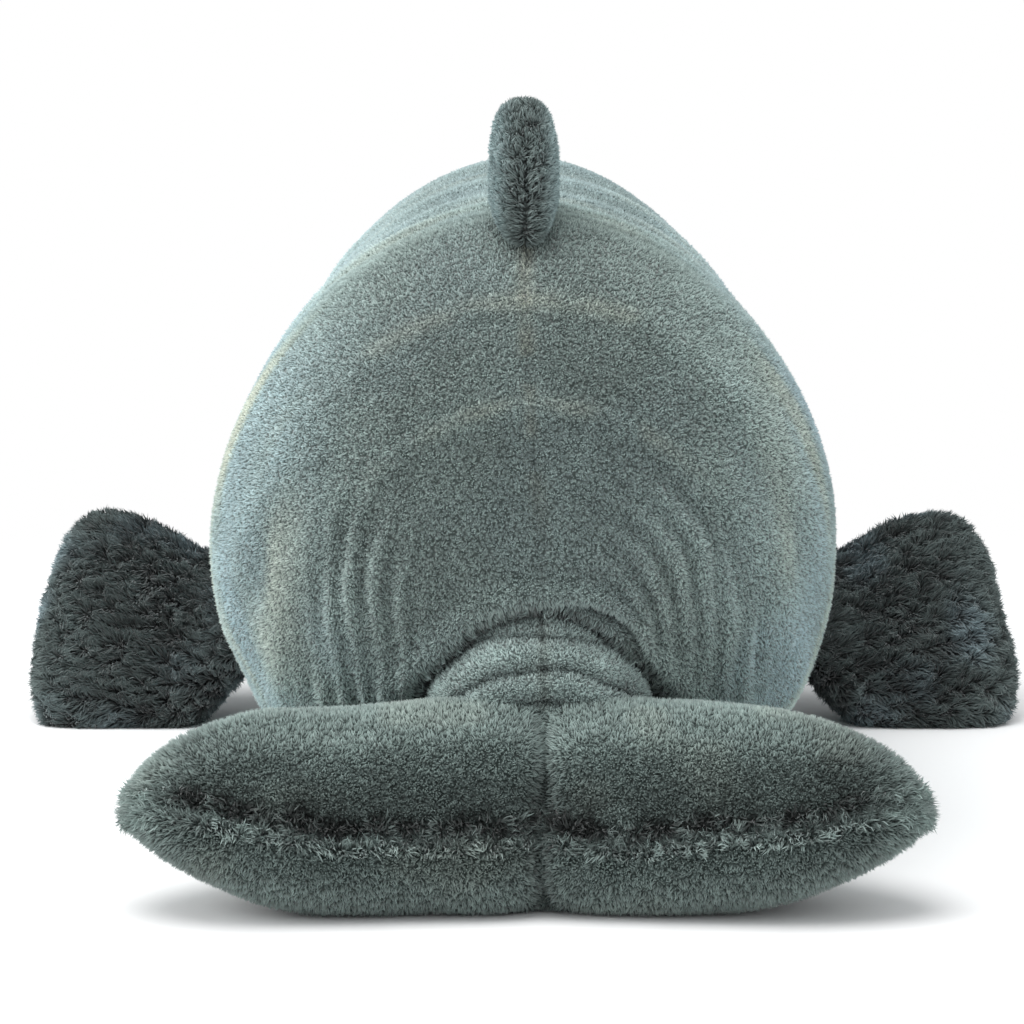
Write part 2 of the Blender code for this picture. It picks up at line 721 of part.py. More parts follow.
def build():
    clear_scene()
    groups = {
        "body": (Vector((0, 0, 0)), make_body()),
        "dorsal_fin": (FIN_AXIS, make_dorsal_fin()),
        "left_flipper": (flipper_axis(-1), make_flipper("left", -1)),
        "right_flipper": (flipper_axis(1), make_flipper("right", 1)),
        "tail_stock": (STOCK_AXIS, make_tail_stock()),
        "fluke": (FLUKE_AXIS, make_fluke()),
    }
    centre = outline_centre(groups)
    for name, (axis, pieces) in groups.items():
        hang_on_axis(name, axis, pieces, centre)
    bpy.context.view_layer.update()


build()
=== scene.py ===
"""The looks of the plush whale: fabric skins with their folds, and a pile of real strands over them."""

import json
import math

import bpy
import numpy as np
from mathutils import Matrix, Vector

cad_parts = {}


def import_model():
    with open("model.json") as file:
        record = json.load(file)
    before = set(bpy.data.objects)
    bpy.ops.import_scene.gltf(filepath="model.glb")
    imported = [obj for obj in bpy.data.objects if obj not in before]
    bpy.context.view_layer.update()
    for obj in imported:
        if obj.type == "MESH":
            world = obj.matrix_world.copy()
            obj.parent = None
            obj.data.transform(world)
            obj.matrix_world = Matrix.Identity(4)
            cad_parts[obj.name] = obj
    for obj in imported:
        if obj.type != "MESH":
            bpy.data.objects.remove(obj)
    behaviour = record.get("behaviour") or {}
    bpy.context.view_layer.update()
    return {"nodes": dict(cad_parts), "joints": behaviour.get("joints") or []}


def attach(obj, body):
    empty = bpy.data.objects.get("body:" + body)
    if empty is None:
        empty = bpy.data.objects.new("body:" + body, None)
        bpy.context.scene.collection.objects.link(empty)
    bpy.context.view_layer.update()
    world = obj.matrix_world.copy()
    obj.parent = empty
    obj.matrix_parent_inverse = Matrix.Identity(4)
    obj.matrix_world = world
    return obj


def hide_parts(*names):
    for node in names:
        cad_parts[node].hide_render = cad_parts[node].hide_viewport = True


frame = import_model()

MM = 0.001
QUARTER = math.pi / 2

# Sizes of the whale, as in the solids, in metres. y is 0 at the widest part of the rear.
BODY_WIDTH, BODY_HEIGHT = 0.217, 0.2185
HEAD_WIDTH_SHARE, SHOULDER_RISE = 0.94, 0.006
REAR_DOME, BARREL, HEAD_DOME = 0.086, 0.320, 0.137
REAR_TIP_HEIGHT, NOSE_HEIGHT, WIDEST_HEIGHT, BELLY_SEAM_HEIGHT = 0.115, 0.092, 0.106, 0.030
REAR_ROUNDNESS, REAR_RISE_ROUNDNESS, HEAD_ROUNDNESS = 2.2, 1.6, 2.5
BACK_ROUNDNESS, BELLY_ROUNDNESS = 1.88, 2.2
SEAT_GAP, SEAT_DEPTH = 0.0004, 0.0005
EYE_PLACE, EYE_HEIGHT, EYE_RADIUS = 0.385, 0.090, 0.0065
SHANK_RADIUS, SHANK_DEPTH = 0.0024, 0.0105
FIN_FRONT, FIN_BACK, FIN_RISE, FIN_THICKNESS, FIN_ROOT_RADIUS = 0.052, 0.047, 0.0290, 0.020, 0.0085
FIN_ROUNDNESS = 3.0
FLIPPER_REACH, FLIPPER_CHORD, FLIPPER_THICKNESS = 0.0895, 0.104, 0.035
FLIPPER_SWEEP, FLIPPER_RAKE_SHARE = 0.012, 0.10
FLIPPER_ROOT_TILT, FLIPPER_TILT = math.radians(24), math.radians(44)
FLIPPER_DROOP_SHARE, FLIPPER_TIP_SHARE = 0.42, 0.20
FLIPPER_ROOT_ROUNDNESS, FLIPPER_TIP_ROUNDNESS = 4.0, 3.0
STOCK_BACK, STOCK_HEIGHT, STOCK_RADIUS, STOCK_WIDTH, STOCK_ROUNDNESS = 0.066, 0.066, 0.028, 0.074, 2.1
FLUKE_BACK, FLUKE_SPAN = 0.084, 0.259
FLUKE_CIRCLES = ((0, 0.0290), (0.013, 0.0270), (0.0265, 0.0215))
FLUKE_SWEEP, FLUKE_TIP_RISE, FLUKE_SEAM_HEIGHT = 0.031, 0.030, 0.0285
FLUKE_END_SHARPNESS, FLUKE_END_ROUNDNESS, FLUKE_RISE_POWER, FLUKE_CHORD_POWER = 4.5, 1.6, 3.2, 3.0
FIN_SHARES = ((0.0, 0.0), (0.15, 0.38), (0.34, 0.70), (0.55, 0.92), (0.70, 1.0), (0.84, 0.90),
              (0.94, 0.58), (1.0, 0.0))
FLIPPER_SHARES = ((0.0, 0.60, 0.80, 0.0), (0.12, 0.66, 0.88, 0.22), (0.28, 0.77, 0.97, 0.66),
                  (0.48, 0.90, 1.0, 0.94), (0.74, 1.0, 0.88, 1.0), (1.0, 1.0, 0.70, 1.0))

# The solids lie with the middle of their length at the origin, and the sizes above count from the rear.
JOINTS = {joint["name"]: joint for joint in frame["joints"]}
SHIFT = np.array([0, JOINTS["tail_stock_lift"]["pos_m"][1] + STOCK_BACK, 0])
FLOOR_LIFT = 0.3 * MM

# The whale lies a little askew: the seam of its back drifts to the right on its way down to the fluke.
ASKEW = 0.0055
STOCK_MIDDLE, REAR_MIDDLE = 0.8 * ASKEW, 0.6 * ASKEW

# A quick try has coarser skins and fewer strands.
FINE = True
DENSITY = 1.0 if FINE else 0.3

# A strand is a three-sided spike or a bent blade: the turns of the corners round it, its faces, and the place
# of each point in the strand's square of the map, whose second number is the share of the height.
SPIKE = ((0, math.tau / 3, 2 * math.tau / 3), ((0, 1, 3), (1, 2, 3), (2, 0, 3)),
         ((0, 0), (0.5, 0), (1, 0), (0.5, 1)))
BLADE = ((0, math.pi), ((0, 1, 3), (0, 3, 2), (2, 3, 4)), ((0, 0), (1, 0), (0, 0.5), (1, 0.5), (0.5, 1)))
ROOT_DEPTH = 0.2 * MM
# How far up a strand the colour of a bare skin sits, and how far a strand's lightness swings with its own
# tone and with painted light and shade.
SKIN_UP, LIGHT_SHARE = 0.3, 0.28


# Numbers


def smooth_step(start, end, values):
    """0 before the start and 1 after the end, with a soft change between. The end may be the lower one."""
    share = np.clip((values - start) / (end - start), 0, 1)
    return share * share * (3 - 2 * share)


def hump(values, centre, width):
    return np.exp(-(((values - centre) / width) ** 2))


def fading(distance, reach):
    """1 where the distance is 0 or less, and less and less further off."""
    return np.exp(-np.maximum(distance, 0) / reach)


def dome(share, roundness):
    return np.maximum(0, 1 - np.minimum(1, np.abs(share)) ** roundness) ** (1 / roundness)


def along(table, place, column):
    """Value of one column of a table of shares, on a smooth curve through its rows."""
    places = np.array([row[0] for row in table])
    values = np.array([row[column] for row in table])
    slopes = np.gradient(values, places)
    place = np.asarray(place, float)
    index = np.clip(np.searchsorted(places, place) - 1, 0, len(places) - 2)
    step = places[index + 1] - places[index]
    t = (place - places[index]) / step
    start = (2 * t**3 - 3 * t**2 + 1) * values[index] + (t**3 - 2 * t**2 + t) * step * slopes[index]
    end = (3 * t**2 - 2 * t**3) * values[index + 1] + (t**3 - t**2) * step * slopes[index + 1]
    return start + end


def rounded(angle, roundness):
    across, up = np.cos(angle), np.sin(angle)
    power = 2 / roundness
    return np.sign(across) * np.abs(across) ** power, np.sign(up) * np.abs(up) ** power


def unit(vectors):
    return vectors / np.maximum(np.linalg.norm(vectors, axis=-1, keepdims=True), 1e-12)


def along_skin(vectors, normals):
    """Vectors without the part of them that stands off the skin."""
    return vectors - normals * np.einsum("ij,ij->i", vectors, normals)[:, None]


def ring_angles(sides, start=0.0):
    return start + math.tau * np.arange(sides) / sides


def rounded_ends(reach, rings):
    """Places from one end to the other that lie closer together towards both."""
    return reach * np.sin(QUARTER * np.arange(1 - rings, rings) / rings)


def lattice(cells, seed):
    """A fixed random value from -1 to 1 at whole-numbered places."""
    c = (cells + 4096).astype(np.uint32)
    h = c[:, 0] * np.uint32(374761393) + c[:, 1] * np.uint32(668265263) + c[:, 2] * np.uint32(2246822519)
    h = h + np.uint32(seed * 2654435761 % 2**32)
    h = (h ^ (h >> np.uint32(13))) * np.uint32(1274126177)
    h = (h ^ (h >> np.uint32(15))) * np.uint32(2246822519)
    return (h ^ (h >> np.uint32(16))) / 2**31 - 1


def noise(points, size, seed):
    """Smooth noise from about -1 to 1 whose lumps are about size wide."""
    p = points / size
    base = np.floor(p)
    t = p - base
    t = t * t * (3 - 2 * t)
    total = 0
    for corner in range(8):
        step = np.array([corner & 1, corner >> 1 & 1, corner >> 2 & 1])
        weight = np.prod(np.where(step, t, 1 - t), axis=1)
        total = total + weight * lattice(base + step, seed)
    return total


def noise_slope(points, size, seed):
    """The uphill direction of the noise, scaled by its size."""
    reach = 0.2
    steps = np.eye(3) * size * reach
    ways = [noise(points + step, size, seed) - noise(points - step, size, seed) for step in steps]
    return np.stack(ways, axis=1) / (2 * reach)


def patchy(points, size, seed, low, high):
    """Patches with soft edges, from 0 where the noise is low to 1 where it is high."""
    return smooth_step(low, high, noise(points, size, seed))


# Surfaces


class Surface:
    """A closed skin over rings of points, in the frame of the sizes, or a part of one."""

    def __init__(self, rings, start, end):
        count, sides = rings.shape[:2]
        self.points = np.vstack([rings.reshape(-1, 3), start, end])
        place = np.arange(count * sides).reshape(count, sides)
        nearby = np.roll(place, -1, axis=1)
        quads = np.stack([place[:-1], nearby[:-1], nearby[1:], place[1:]], axis=-1).reshape(-1, 4)
        first = np.stack([nearby[0], place[0], np.full(sides, count * sides)], axis=-1)
        last = np.stack([place[-1], nearby[-1], np.full(sides, count * sides + 1)], axis=-1)
        self.triangles = np.vstack([quads[:, [0, 1, 2]], quads[:, [0, 2, 3]], first, last])
        self.settle()
        if np.einsum("ij,ij->", self.normals, self.points - self.points.mean(axis=0)) < 0:
            self.triangles = self.triangles[:, ::-1].copy()
            self.settle()

    def settle(self):
        """Works out the areas of the triangles and the normals of the points."""
        corners = self.points[self.triangles]
        cross = np.cross(corners[:, 1] - corners[:, 0], corners[:, 2] - corners[:, 0])
        self.areas = np.linalg.norm(cross, axis=1) / 2
        normals = np.zeros_like(self.points)
        for corner in range(3):
            np.add.at(normals, self.triangles[:, corner], cross)
        self.normals = unit(normals)

    def push(self, heights):
        self.points = self.points + self.normals * heights[:, None]
        self.settle()

    def part(self, keep):
        """The triangles whose middles pass a test, with the whole skin's normals."""
        piece = object.__new__(Surface)
        piece.__dict__.update(self.__dict__)
        chosen = keep(self.points[self.triangles].mean(axis=1))
        piece.triangles, piece.areas = self.triangles[chosen], self.areas[chosen]
        return piece

    def scatter(self, per_mm2, random):
        """Points spread over the skin at a density, with their normals."""
        middles = self.points[self.triangles].mean(axis=1)
        amount = self.areas / MM**2 * (per_mm2(middles) if callable(per_mm2) else per_mm2)
        counts = np.floor(amount + random.random(len(amount))).astype(int)
        chosen = np.repeat(np.arange(len(counts)), counts)
        a, b = random.random((2, len(chosen)))
        over = a + b > 1
        a, b = np.where(over, 1 - a, a), np.where(over, 1 - b, b)
        weights = np.stack([1 - a - b, a, b], axis=1)[:, :, None]
        corners = self.triangles[chosen]
        points = (self.points[corners] * weights).sum(axis=1)
        return points, unit((self.normals[corners] * weights).sum(axis=1))


def in_place(points):
    """From the frame of the sizes to the object's frame, and no lower than the ground."""
    placed = points + SHIFT
    placed[:, 2] = np.maximum(placed[:, 2], FLOOR_LIFT)
    return placed


def mesh_object(name, points, faces, smooth=True):
    mesh = bpy.data.meshes.new(name)
    sides = faces.shape[1]
    mesh.vertices.add(len(points))
    mesh.vertices.foreach_set("co", points.astype(np.float32).ravel())
    mesh.loops.add(len(faces) * sides)
    mesh.loops.foreach_set("vertex_index", faces.astype(np.int32).ravel())
    mesh.polygons.add(len(faces))
    mesh.polygons.foreach_set("loop_start", np.arange(0, len(faces) * sides, sides, dtype=np.int32))
    mesh.update(calc_edges=True)
    mesh.polygons.foreach_set("use_smooth", np.full(len(faces), smooth))
    piece = bpy.data.objects.new(name, mesh)
    bpy.context.scene.collection.objects.link(piece)
    return piece


def moving_piece(name, points, faces, material, body):
    """A mesh in the object's frame that moves with a body."""
    piece = mesh_object(name, in_place(points), faces)
    piece.data.materials.append(material)
    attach(piece, body)
    return piece


def tint(piece, values):
    """Height up the strand, lightness with painted light and shade in it, cream and blue at each point, for
    the material.
    """
    tone = piece.data.attributes.new("pile", "FLOAT_COLOR", "POINT")
    tone.data.foreach_set("color", values.astype(np.float32).ravel())


def skin_object(name, surface, material, body, fields=None):
    """The fabric itself, under the pile."""
    used = np.unique(surface.triangles)
    renumber = np.zeros(len(surface.points), int)
    renumber[used] = np.arange(len(used))
    points = surface.points[used]
    piece = moving_piece(name, points, renumber[surface.triangles], material, body)
    cream, blue, light = fields(points) if fields else np.zeros((3, len(points)))
    # The skin's lightness is the painted light and shade of the fields.
    up, tone_and_painted_light = np.full(len(points), SKIN_UP), np.clip(0.5 + LIGHT_SHARE * light, 0, 1)
    tint(piece, np.stack([up, tone_and_painted_light, cream, blue], axis=1))
    return piece


def dress(name, surface, cloth, panel, fields=None):
    """A skin that takes the place of a solid panel. A cloth is a material, the body it is on and its slot,
    which is not used.
    """
    material, body, slot = cloth
    skin = skin_object(name, surface, material, body, fields)
    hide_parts(panel)


def stuff(name, surface, body, stuffing):
    """A soft filling that takes the place of the solid one."""
    piece = skin_object(name, surface, filling, body)
    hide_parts(stuffing)


# Pile


def cells(count, corner_places):
    """A small square of the map for each strand, so that each keeps its own colours."""
    side = math.ceil(math.sqrt(count))
    index = np.arange(count)
    low = np.stack([index % side, index // side], axis=1)[:, None, :]
    return ((low + 0.1 + 0.8 * corner_places[None]) / side).reshape(-1, 2)


def strands(name, shape, layers, widths, tips, across, shade, material, body):
    """One mesh of strands of a shape. Each has corners round its point in each layer, and ends in its tip."""
    angles, faces, places = (np.array(part) for part in shape)
    count, per_strand = len(tips), len(places)
    axis = unit(tips - layers[0])
    across = unit(np.cross(axis, across))
    over = np.cross(axis, across)
    around = [across * math.cos(angle) + over * math.sin(angle) for angle in angles]
    points = [layer + way * width[:, None] for layer, width in zip(layers, widths) for way in around]
    points = np.stack([*points, tips], axis=1).reshape(-1, 3)
    all_faces = (faces[None] + (np.arange(count) * per_strand)[:, None, None]).reshape(-1, 3)
    piece = moving_piece(name, points, all_faces, material, body)
    uv = piece.data.uv_layers.new(name="OFBake")
    uv.data.foreach_set("uv", cells(count, places[faces.ravel()]).astype(np.float32).ravel())
    values = np.empty((count, per_strand, 4))
    values[:, :, 0] = places[:, 1]
    values[:, :, 1:] = np.stack(shade, axis=1)[:, None]
    tint(piece, values)
    return piece


def pile(name, surface, cloth, per_mm2, length, radius, seed, lean=(0, -0.3, 0), clump=0.5,
         clump_size=4 * MM, stretch=(1, 1, 1), gap_shade=0.0, stray=0.25, bend=0.0, keep=None, fields=None):
    """A pile over a skin, of straight spikes or, with a bend, of blades.

    The strands stand off the skin, lean along it, gather in clumps and stray. Stretch draws the clumps out
    along an axis where it is under 1, and the gaps between the clumps get painted shade to the amount asked.
    Density, length and lean are values or functions of points.
    """
    random = np.random.default_rng(seed)
    roots, normals = surface.scatter(per_mm2, random)
    if keep:
        kept = keep(roots)
        roots, normals = roots[kept], normals[kept]
    count = len(roots)
    long = length(roots) if callable(length) else np.full(count, length)
    long = (long * (0.75 + 0.4 * random.random(count)))[:, None]
    stretch = np.array(stretch, float)
    stretched = roots * stretch
    lie = along_skin(lean(roots) if callable(lean) else np.array(lean) * np.ones_like(roots), normals)
    pull = along_skin(noise_slope(stretched, clump_size, seed + 1) * stretch, normals) * clump
    astray = along_skin(random.normal(size=roots.shape) * stray, normals)
    cream, blue, light = fields(roots) if fields else np.zeros((3, count))
    # Painted shade in the gaps between clumps, added to the fields' painted light and shade; the random part
    # below is the strand's own tone.
    light = light + gap_shade * noise(stretched, clump_size, seed + 1)
    tone_and_painted_light = np.clip(0.5 + LIGHT_SHARE * (random.random(count) - 0.5 + light), 0, 1)
    across = random.normal(size=(count, 3))
    wide = radius * (0.75 + 0.5 * random.random(count))
    roots = roots - normals * ROOT_DEPTH
    if bend:
        middle = roots + unit(normals + lie * 0.5 + pull * 0.3 + astray) * long * 0.55
        tips = middle + unit(normals * (1 - bend) + lie + pull * 1.3 + astray) * long * 0.45
        shape, layers, widths, across = BLADE, [roots, middle], [wide, wide * 0.75], normals + 0.9 * across
    else:
        tips = roots + unit(normals + lie + pull + astray) * long
        shape, layers, widths = SPIKE, [roots], [wide]
    material, body, slot = cloth
    coat = strands(name, shape, layers, widths, tips, across, (tone_and_painted_light, cream, blue), material, body)


# Materials


def feed(tree, node, values):
    """Sets inputs of a node, by name or number, to outputs, colours or numbers."""
    for key, value in values.items():
        if isinstance(value, bpy.types.NodeSocket):
            tree.links.new(value, node.inputs[key])
        else:
            node.inputs[key].default_value = (*value, 1) if isinstance(value, tuple) else value


def add_node(tree, kind, values=None, **settings):
    node = tree.nodes.new(kind)
    for key, value in settings.items():
        setattr(node, key, value)
    feed(tree, node, values or {})
    return node


def new_material(name):
    made = bpy.data.materials.new(name)
    made.use_nodes = True
    return made, made.node_tree, made.node_tree.nodes["Principled BSDF"]


def mix_colours(tree, share, first, second, blend_type="MIX"):
    node = add_node(tree, "ShaderNodeMix", data_type="RGBA", blend_type=blend_type)
    feed(tree, node, {0: share, 6: first, 7: second})
    return node.outputs[2]


def maths(tree, operation, first, second):
    return add_node(tree, "ShaderNodeMath", {0: first, 1: second}, operation=operation).outputs[0]


def in_object(tree, kind, **values):
    """A texture in the object's own coordinates."""
    place = add_node(tree, "ShaderNodeTexCoord")
    return add_node(tree, kind, {"Vector": place.outputs["Object"], **values})


def bumpy(tree, shader, height, strength, distance):
    bump = add_node(tree, "ShaderNodeBump", {"Strength": strength, "Distance": distance, "Height": height})
    feed(tree, shader, {"Normal": bump.outputs[0]})


CREAM, BLUE = (0.56, 0.57, 0.46), (0.33, 0.44, 0.50)


def pile_material(name, root, tip, grain=45.0, sheen=0.35, tuft=0.0):
    """Dark at the root, painted shade deep in the pile, and pale at the tip, with tints that drift over the
    fabric and differ by strand.

    A skin under the pile gets tufts of its own, each as wide as tuft: bumps, pale in their middles, with
    painted shade in the gaps between them.
    """
    made, tree, shader = new_material(name)
    tone = add_node(tree, "ShaderNodeAttribute", attribute_name="pile")
    up, tone_and_painted_light, creamy = add_node(tree, "ShaderNodeSeparateColor", {0: tone.outputs["Color"]}).outputs
    if tuft:
        # Tufts on the skin: pale middles and painted shade in the gaps between them, with bumps.
        curls = in_object(tree, "ShaderNodeTexVoronoi", Scale=1 / tuft, Randomness=1.0)
        crown = maths(tree, "SUBTRACT", 0.95, maths(tree, "MULTIPLY", curls.outputs["Distance"], 1.5))
        up = maths(tree, "MAXIMUM", maths(tree, "MULTIPLY", crown, 0.8), 0.0)
        bumpy(tree, shader, crown, 0.9, tuft)
    ramp = add_node(tree, "ShaderNodeValToRGB", {0: up})
    ramp.color_ramp.elements[0].color = (*root, 1)
    ramp.color_ramp.elements[1].color = (*tip, 1)
    middle = ramp.color_ramp.elements.new(0.42)
    middle.color = (*[r + (t - r) * 0.55 for r, t in zip(root, tip)], 1)
    colour = ramp.outputs[0]
    high = maths(tree, "ADD", up, 0.1)
    for share, tinted in ((creamy, CREAM), (tone.outputs["Alpha"], BLUE)):
        colour = mix_colours(tree, maths(tree, "MULTIPLY", share, high), colour, tinted)
    clouds = in_object(tree, "ShaderNodeTexNoise", Scale=grain, Detail=3.0, Roughness=0.6)
    drift = maths(tree, "ADD", maths(tree, "MULTIPLY", clouds.outputs["Fac"], 0.4), 0.8)
    # Lightness: the strand's own tone with the painted light and shade it carries, times a drift of tone over
    # the fabric.
    bright = maths(tree, "MULTIPLY", maths(tree, "ADD", maths(tree, "MULTIPLY", tone_and_painted_light, 1.8), 0.1), drift)
    grey = add_node(tree, "ShaderNodeCombineColor", {0: bright, 1: bright, 2: bright})
    colour = mix_colours(tree, 1.0, colour, grey.outputs[0], "MULTIPLY")
    feed(tree, shader, {"Base Color": colour, "Roughness": 0.85, "Specular IOR Level": 0.25,
                        "Sheen Weight": sheen, "Sheen Roughness": 0.5})
    return made


def filling_material():
    made, tree, shader = new_material("filling fibre")
    wisps = in_object(tree, "ShaderNodeTexNoise", Scale=220.0, Detail=6.0, Roughness=0.7, Distortion=1.5)
    fibre = mix_colours(tree, wisps.outputs["Fac"], (0.62, 0.61, 0.58), (0.85, 0.84, 0.82))
    feed(tree, shader, {"Base Color": fibre, "Roughness": 1.0})
    bumpy(tree, shader, wisps.outputs["Fac"], 0.6, 1 * MM)
    return made


def plastic_material(name, colour, roughness, mottle):
    made, tree, shader = new_material(name)
    specks = in_object(tree, "ShaderNodeTexNoise", Scale=900.0, Detail=2.0).outputs["Fac"]
    pale = tuple(min(1.0, c * (1 + mottle) + 0.002) for c in colour)
    rough = maths(tree, "ADD", maths(tree, "MULTIPLY", specks, 0.06), roughness)
    feed(tree, shader, {"Base Color": mix_colours(tree, specks, colour, pale), "Roughness": rough})
    return made


# Roots are dark, painted shade deep in the pile, and tips pale. The cloths of the flippers and fluke stop at
# darker tips than their piles: painted shade, so that bare cloth looks like the shaded pile.
BODY_ROOT, BODY_TIP, BELLY_TIP = (0.070, 0.094, 0.087), (0.450, 0.560, 0.530), (0.46, 0.55, 0.53)
LIMB_ROOT, LIMB_TIP, LIMB_CLOTH_TIP = (0.006, 0.008, 0.008), (0.094, 0.119, 0.115), (0.058, 0.074, 0.071)
FLUKE_ROOT, FLUKE_TIP, FLUKE_CLOTH_TIP = (0.026, 0.037, 0.033), (0.262, 0.333, 0.304), (0.190, 0.250, 0.228)
FIN_ROOT, FIN_TIP = (0.022, 0.030, 0.028), (0.330, 0.415, 0.400)

body_pile = pile_material("body pile", BODY_ROOT, BODY_TIP)
body_cloth = pile_material("body cloth", BODY_ROOT, BODY_TIP, tuft=1.2 * MM)
belly_pile = pile_material("belly pile", BODY_ROOT, BELLY_TIP, tuft=1.3 * MM)
limb_pile = pile_material("limb pile", LIMB_ROOT, LIMB_TIP, grain=70.0, sheen=0.3)
limb_cloth = pile_material("limb cloth", LIMB_ROOT, LIMB_CLOTH_TIP, grain=70.0, sheen=0.06, tuft=2.0 * MM)
fluke_pile = pile_material("fluke pile", FLUKE_ROOT, FLUKE_TIP, grain=60.0, sheen=0.25)
fin_pile = pile_material("fin pile", FIN_ROOT, FIN_TIP, grain=60.0, sheen=0.25)
fin_cloth = pile_material("fin cloth", FIN_ROOT, FIN_TIP, grain=60.0, tuft=1.2 * MM)
fluke_cloth = pile_material("fluke cloth", FLUKE_ROOT, FLUKE_CLOTH_TIP, grain=60.0, sheen=0.06, tuft=1.2 * MM)
filling = filling_material()
thread = plastic_material("mouth thread", (0.012, 0.014, 0.014), 0.7, 0.8)
eye_plastic = plastic_material("eye plastic", (0.008, 0.008, 0.009), 0.06, 0.5)
washer_plastic = plastic_material("washer plastic", (0.66, 0.66, 0.64), 0.42, 0.1)


# Forms of the body and the tail stock


def body_sections(y, inset=0.0):
    """Half width, top, bottom and height of the widest line of the body at each place."""
    rear = y < 0
    share = np.where(rear, -y / (REAR_DOME - inset), np.maximum(0, y - BARREL) / (HEAD_DOME - inset))
    size = np.where(rear, dome(share, REAR_ROUNDNESS), dome(share, HEAD_ROUNDNESS))
    rise = np.where(rear, dome(share, REAR_RISE_ROUNDNESS), size)
    tip = np.where(rear, REAR_TIP_HEIGHT, NOSE_HEIGHT)
    forward = smooth_step(0, BARREL, y)
    half_width = (BODY_WIDTH / 2 * (1 - (1 - HEAD_WIDTH_SHARE) * forward) - inset) * size
    top = tip + (BODY_HEIGHT + SHOULDER_RISE * forward - inset - tip) * size
    bottom = tip - (tip - inset) * rise
    widest = tip + (WIDEST_HEIGHT - tip) * rise
    return half_width, top, bottom, widest


def body_points(y, angle, inset):
    half_width, top, bottom, widest = body_sections(y, inset)
    across_up, up = rounded(angle, BACK_ROUNDNESS)
    across_down, down = rounded(angle, BELLY_ROUNDNESS)
    over = np.sin(angle) > 0
    x = half_width * np.where(over, across_up, across_down)
    z = widest + np.where(over, (top - widest) * up, (widest - bottom) * down)
    return np.stack([x, y, z], axis=-1)


def body_surface(rear_rings, barrel_rings, head_rings, sides, inset=0.0):
    rear, head = REAR_DOME - inset, HEAD_DOME - inset
    places = np.concatenate([-rear * np.cos(QUARTER * np.arange(1, rear_rings) / rear_rings),
                             BARREL * np.arange(barrel_rings) / barrel_rings,
                             BARREL + head * np.sin(QUARTER * np.arange(head_rings) / head_rings)])
    y, angle = np.meshgrid(places, ring_angles(sides, QUARTER), indexing="ij")
    rings = body_points(y.ravel(), angle.ravel(), inset).reshape(*y.shape, 3)
    return Surface(rings, np.array([0, -rear, REAR_TIP_HEIGHT]), np.array([0, BARREL + head, NOSE_HEIGHT]))


def stock_taper(z):
    """How much narrower the tail stock is towards its top."""
    return 1 - 0.25 * smooth_step(-0.008, 0.017, z - STOCK_HEIGHT)


def stock_distance(p):
    """About how far points lie outside the ball of the tail stock."""
    x = (p[:, 0] - STOCK_MIDDLE) / (STOCK_WIDTH / 2 * stock_taper(p[:, 2]))
    y, z = (p[:, 1] + STOCK_BACK) / STOCK_RADIUS, (p[:, 2] - STOCK_HEIGHT) / STOCK_RADIUS
    mean_radius = 0.031
    return (np.sqrt(x**2 + y**2 + z**2) - 1) * mean_radius


def outside_stock(p):
    return stock_distance(p) > -1.5 * MM


def off_middle(p):
    """Distance from the seam down the middle of the back."""
    return p[:, 0] - ASKEW * smooth_step(0.21, 0.09, p[:, 2]) - 0.6 * MM * noise(p, 0.018, 5)


def rear_polar(p):
    """Distance and height angle round the tail stock, as seen from behind."""
    x, z = p[:, 0] - REAR_MIDDLE, p[:, 2] - 0.052
    return np.hypot(x, z * 0.80), np.degrees(np.arctan2(z, np.abs(x)))


# Folds and colours of the body. Places and widths are metres, and angles degrees.

# Raised arcs over the rear: distance from the tail stock, width and share of the height.
ARCS = ((0.086, 0.0030, 0.7), (0.112, 0.0035, 0.6), (0.070, 0.0030, 0.3))

# Ripples across the back: place along it, width, and height in millimetres.
RIPPLES = ((0.012, 0.007, 0.8), (0.040, 0.009, 1.3), (0.070, 0.010, -1.0), (0.100, 0.010, 1.5),
           (0.138, 0.012, -1.0), (0.175, 0.014, 1.3), (0.235, 0.018, -1.0), (0.290, 0.016, 1.0))


def on_rear(p):
    return smooth_step(0.004, -0.030, p[:, 1])


def crease_folds(p):
    """The dip round the tail stock, the swell beyond it, and a crescent tucked in at its upper right."""
    distance = stock_distance(p)
    turn = np.degrees(np.arctan2(p[:, 2] - STOCK_HEIGHT, p[:, 0] - STOCK_MIDDLE))
    swell = hump(distance, 0.0100, 0.0060) * smooth_step(0.035, 0.062, p[:, 2])
    tuck = 0.0052 + 0.0055 * np.sin(np.radians(np.clip(turn, 0, 90) * 2)) + 0.0008 * noise(p, 0.012, 14)
    crescent = 1.8 * hump(distance, tuck + 0.0042, 0.0018) - 5.0 * hump(distance, tuck, 0.0022)
    return MM * (3.2 * swell - 8.0 * fading(distance, 0.0030) + crescent * hump(turn, 38, 34) * on_rear(p))


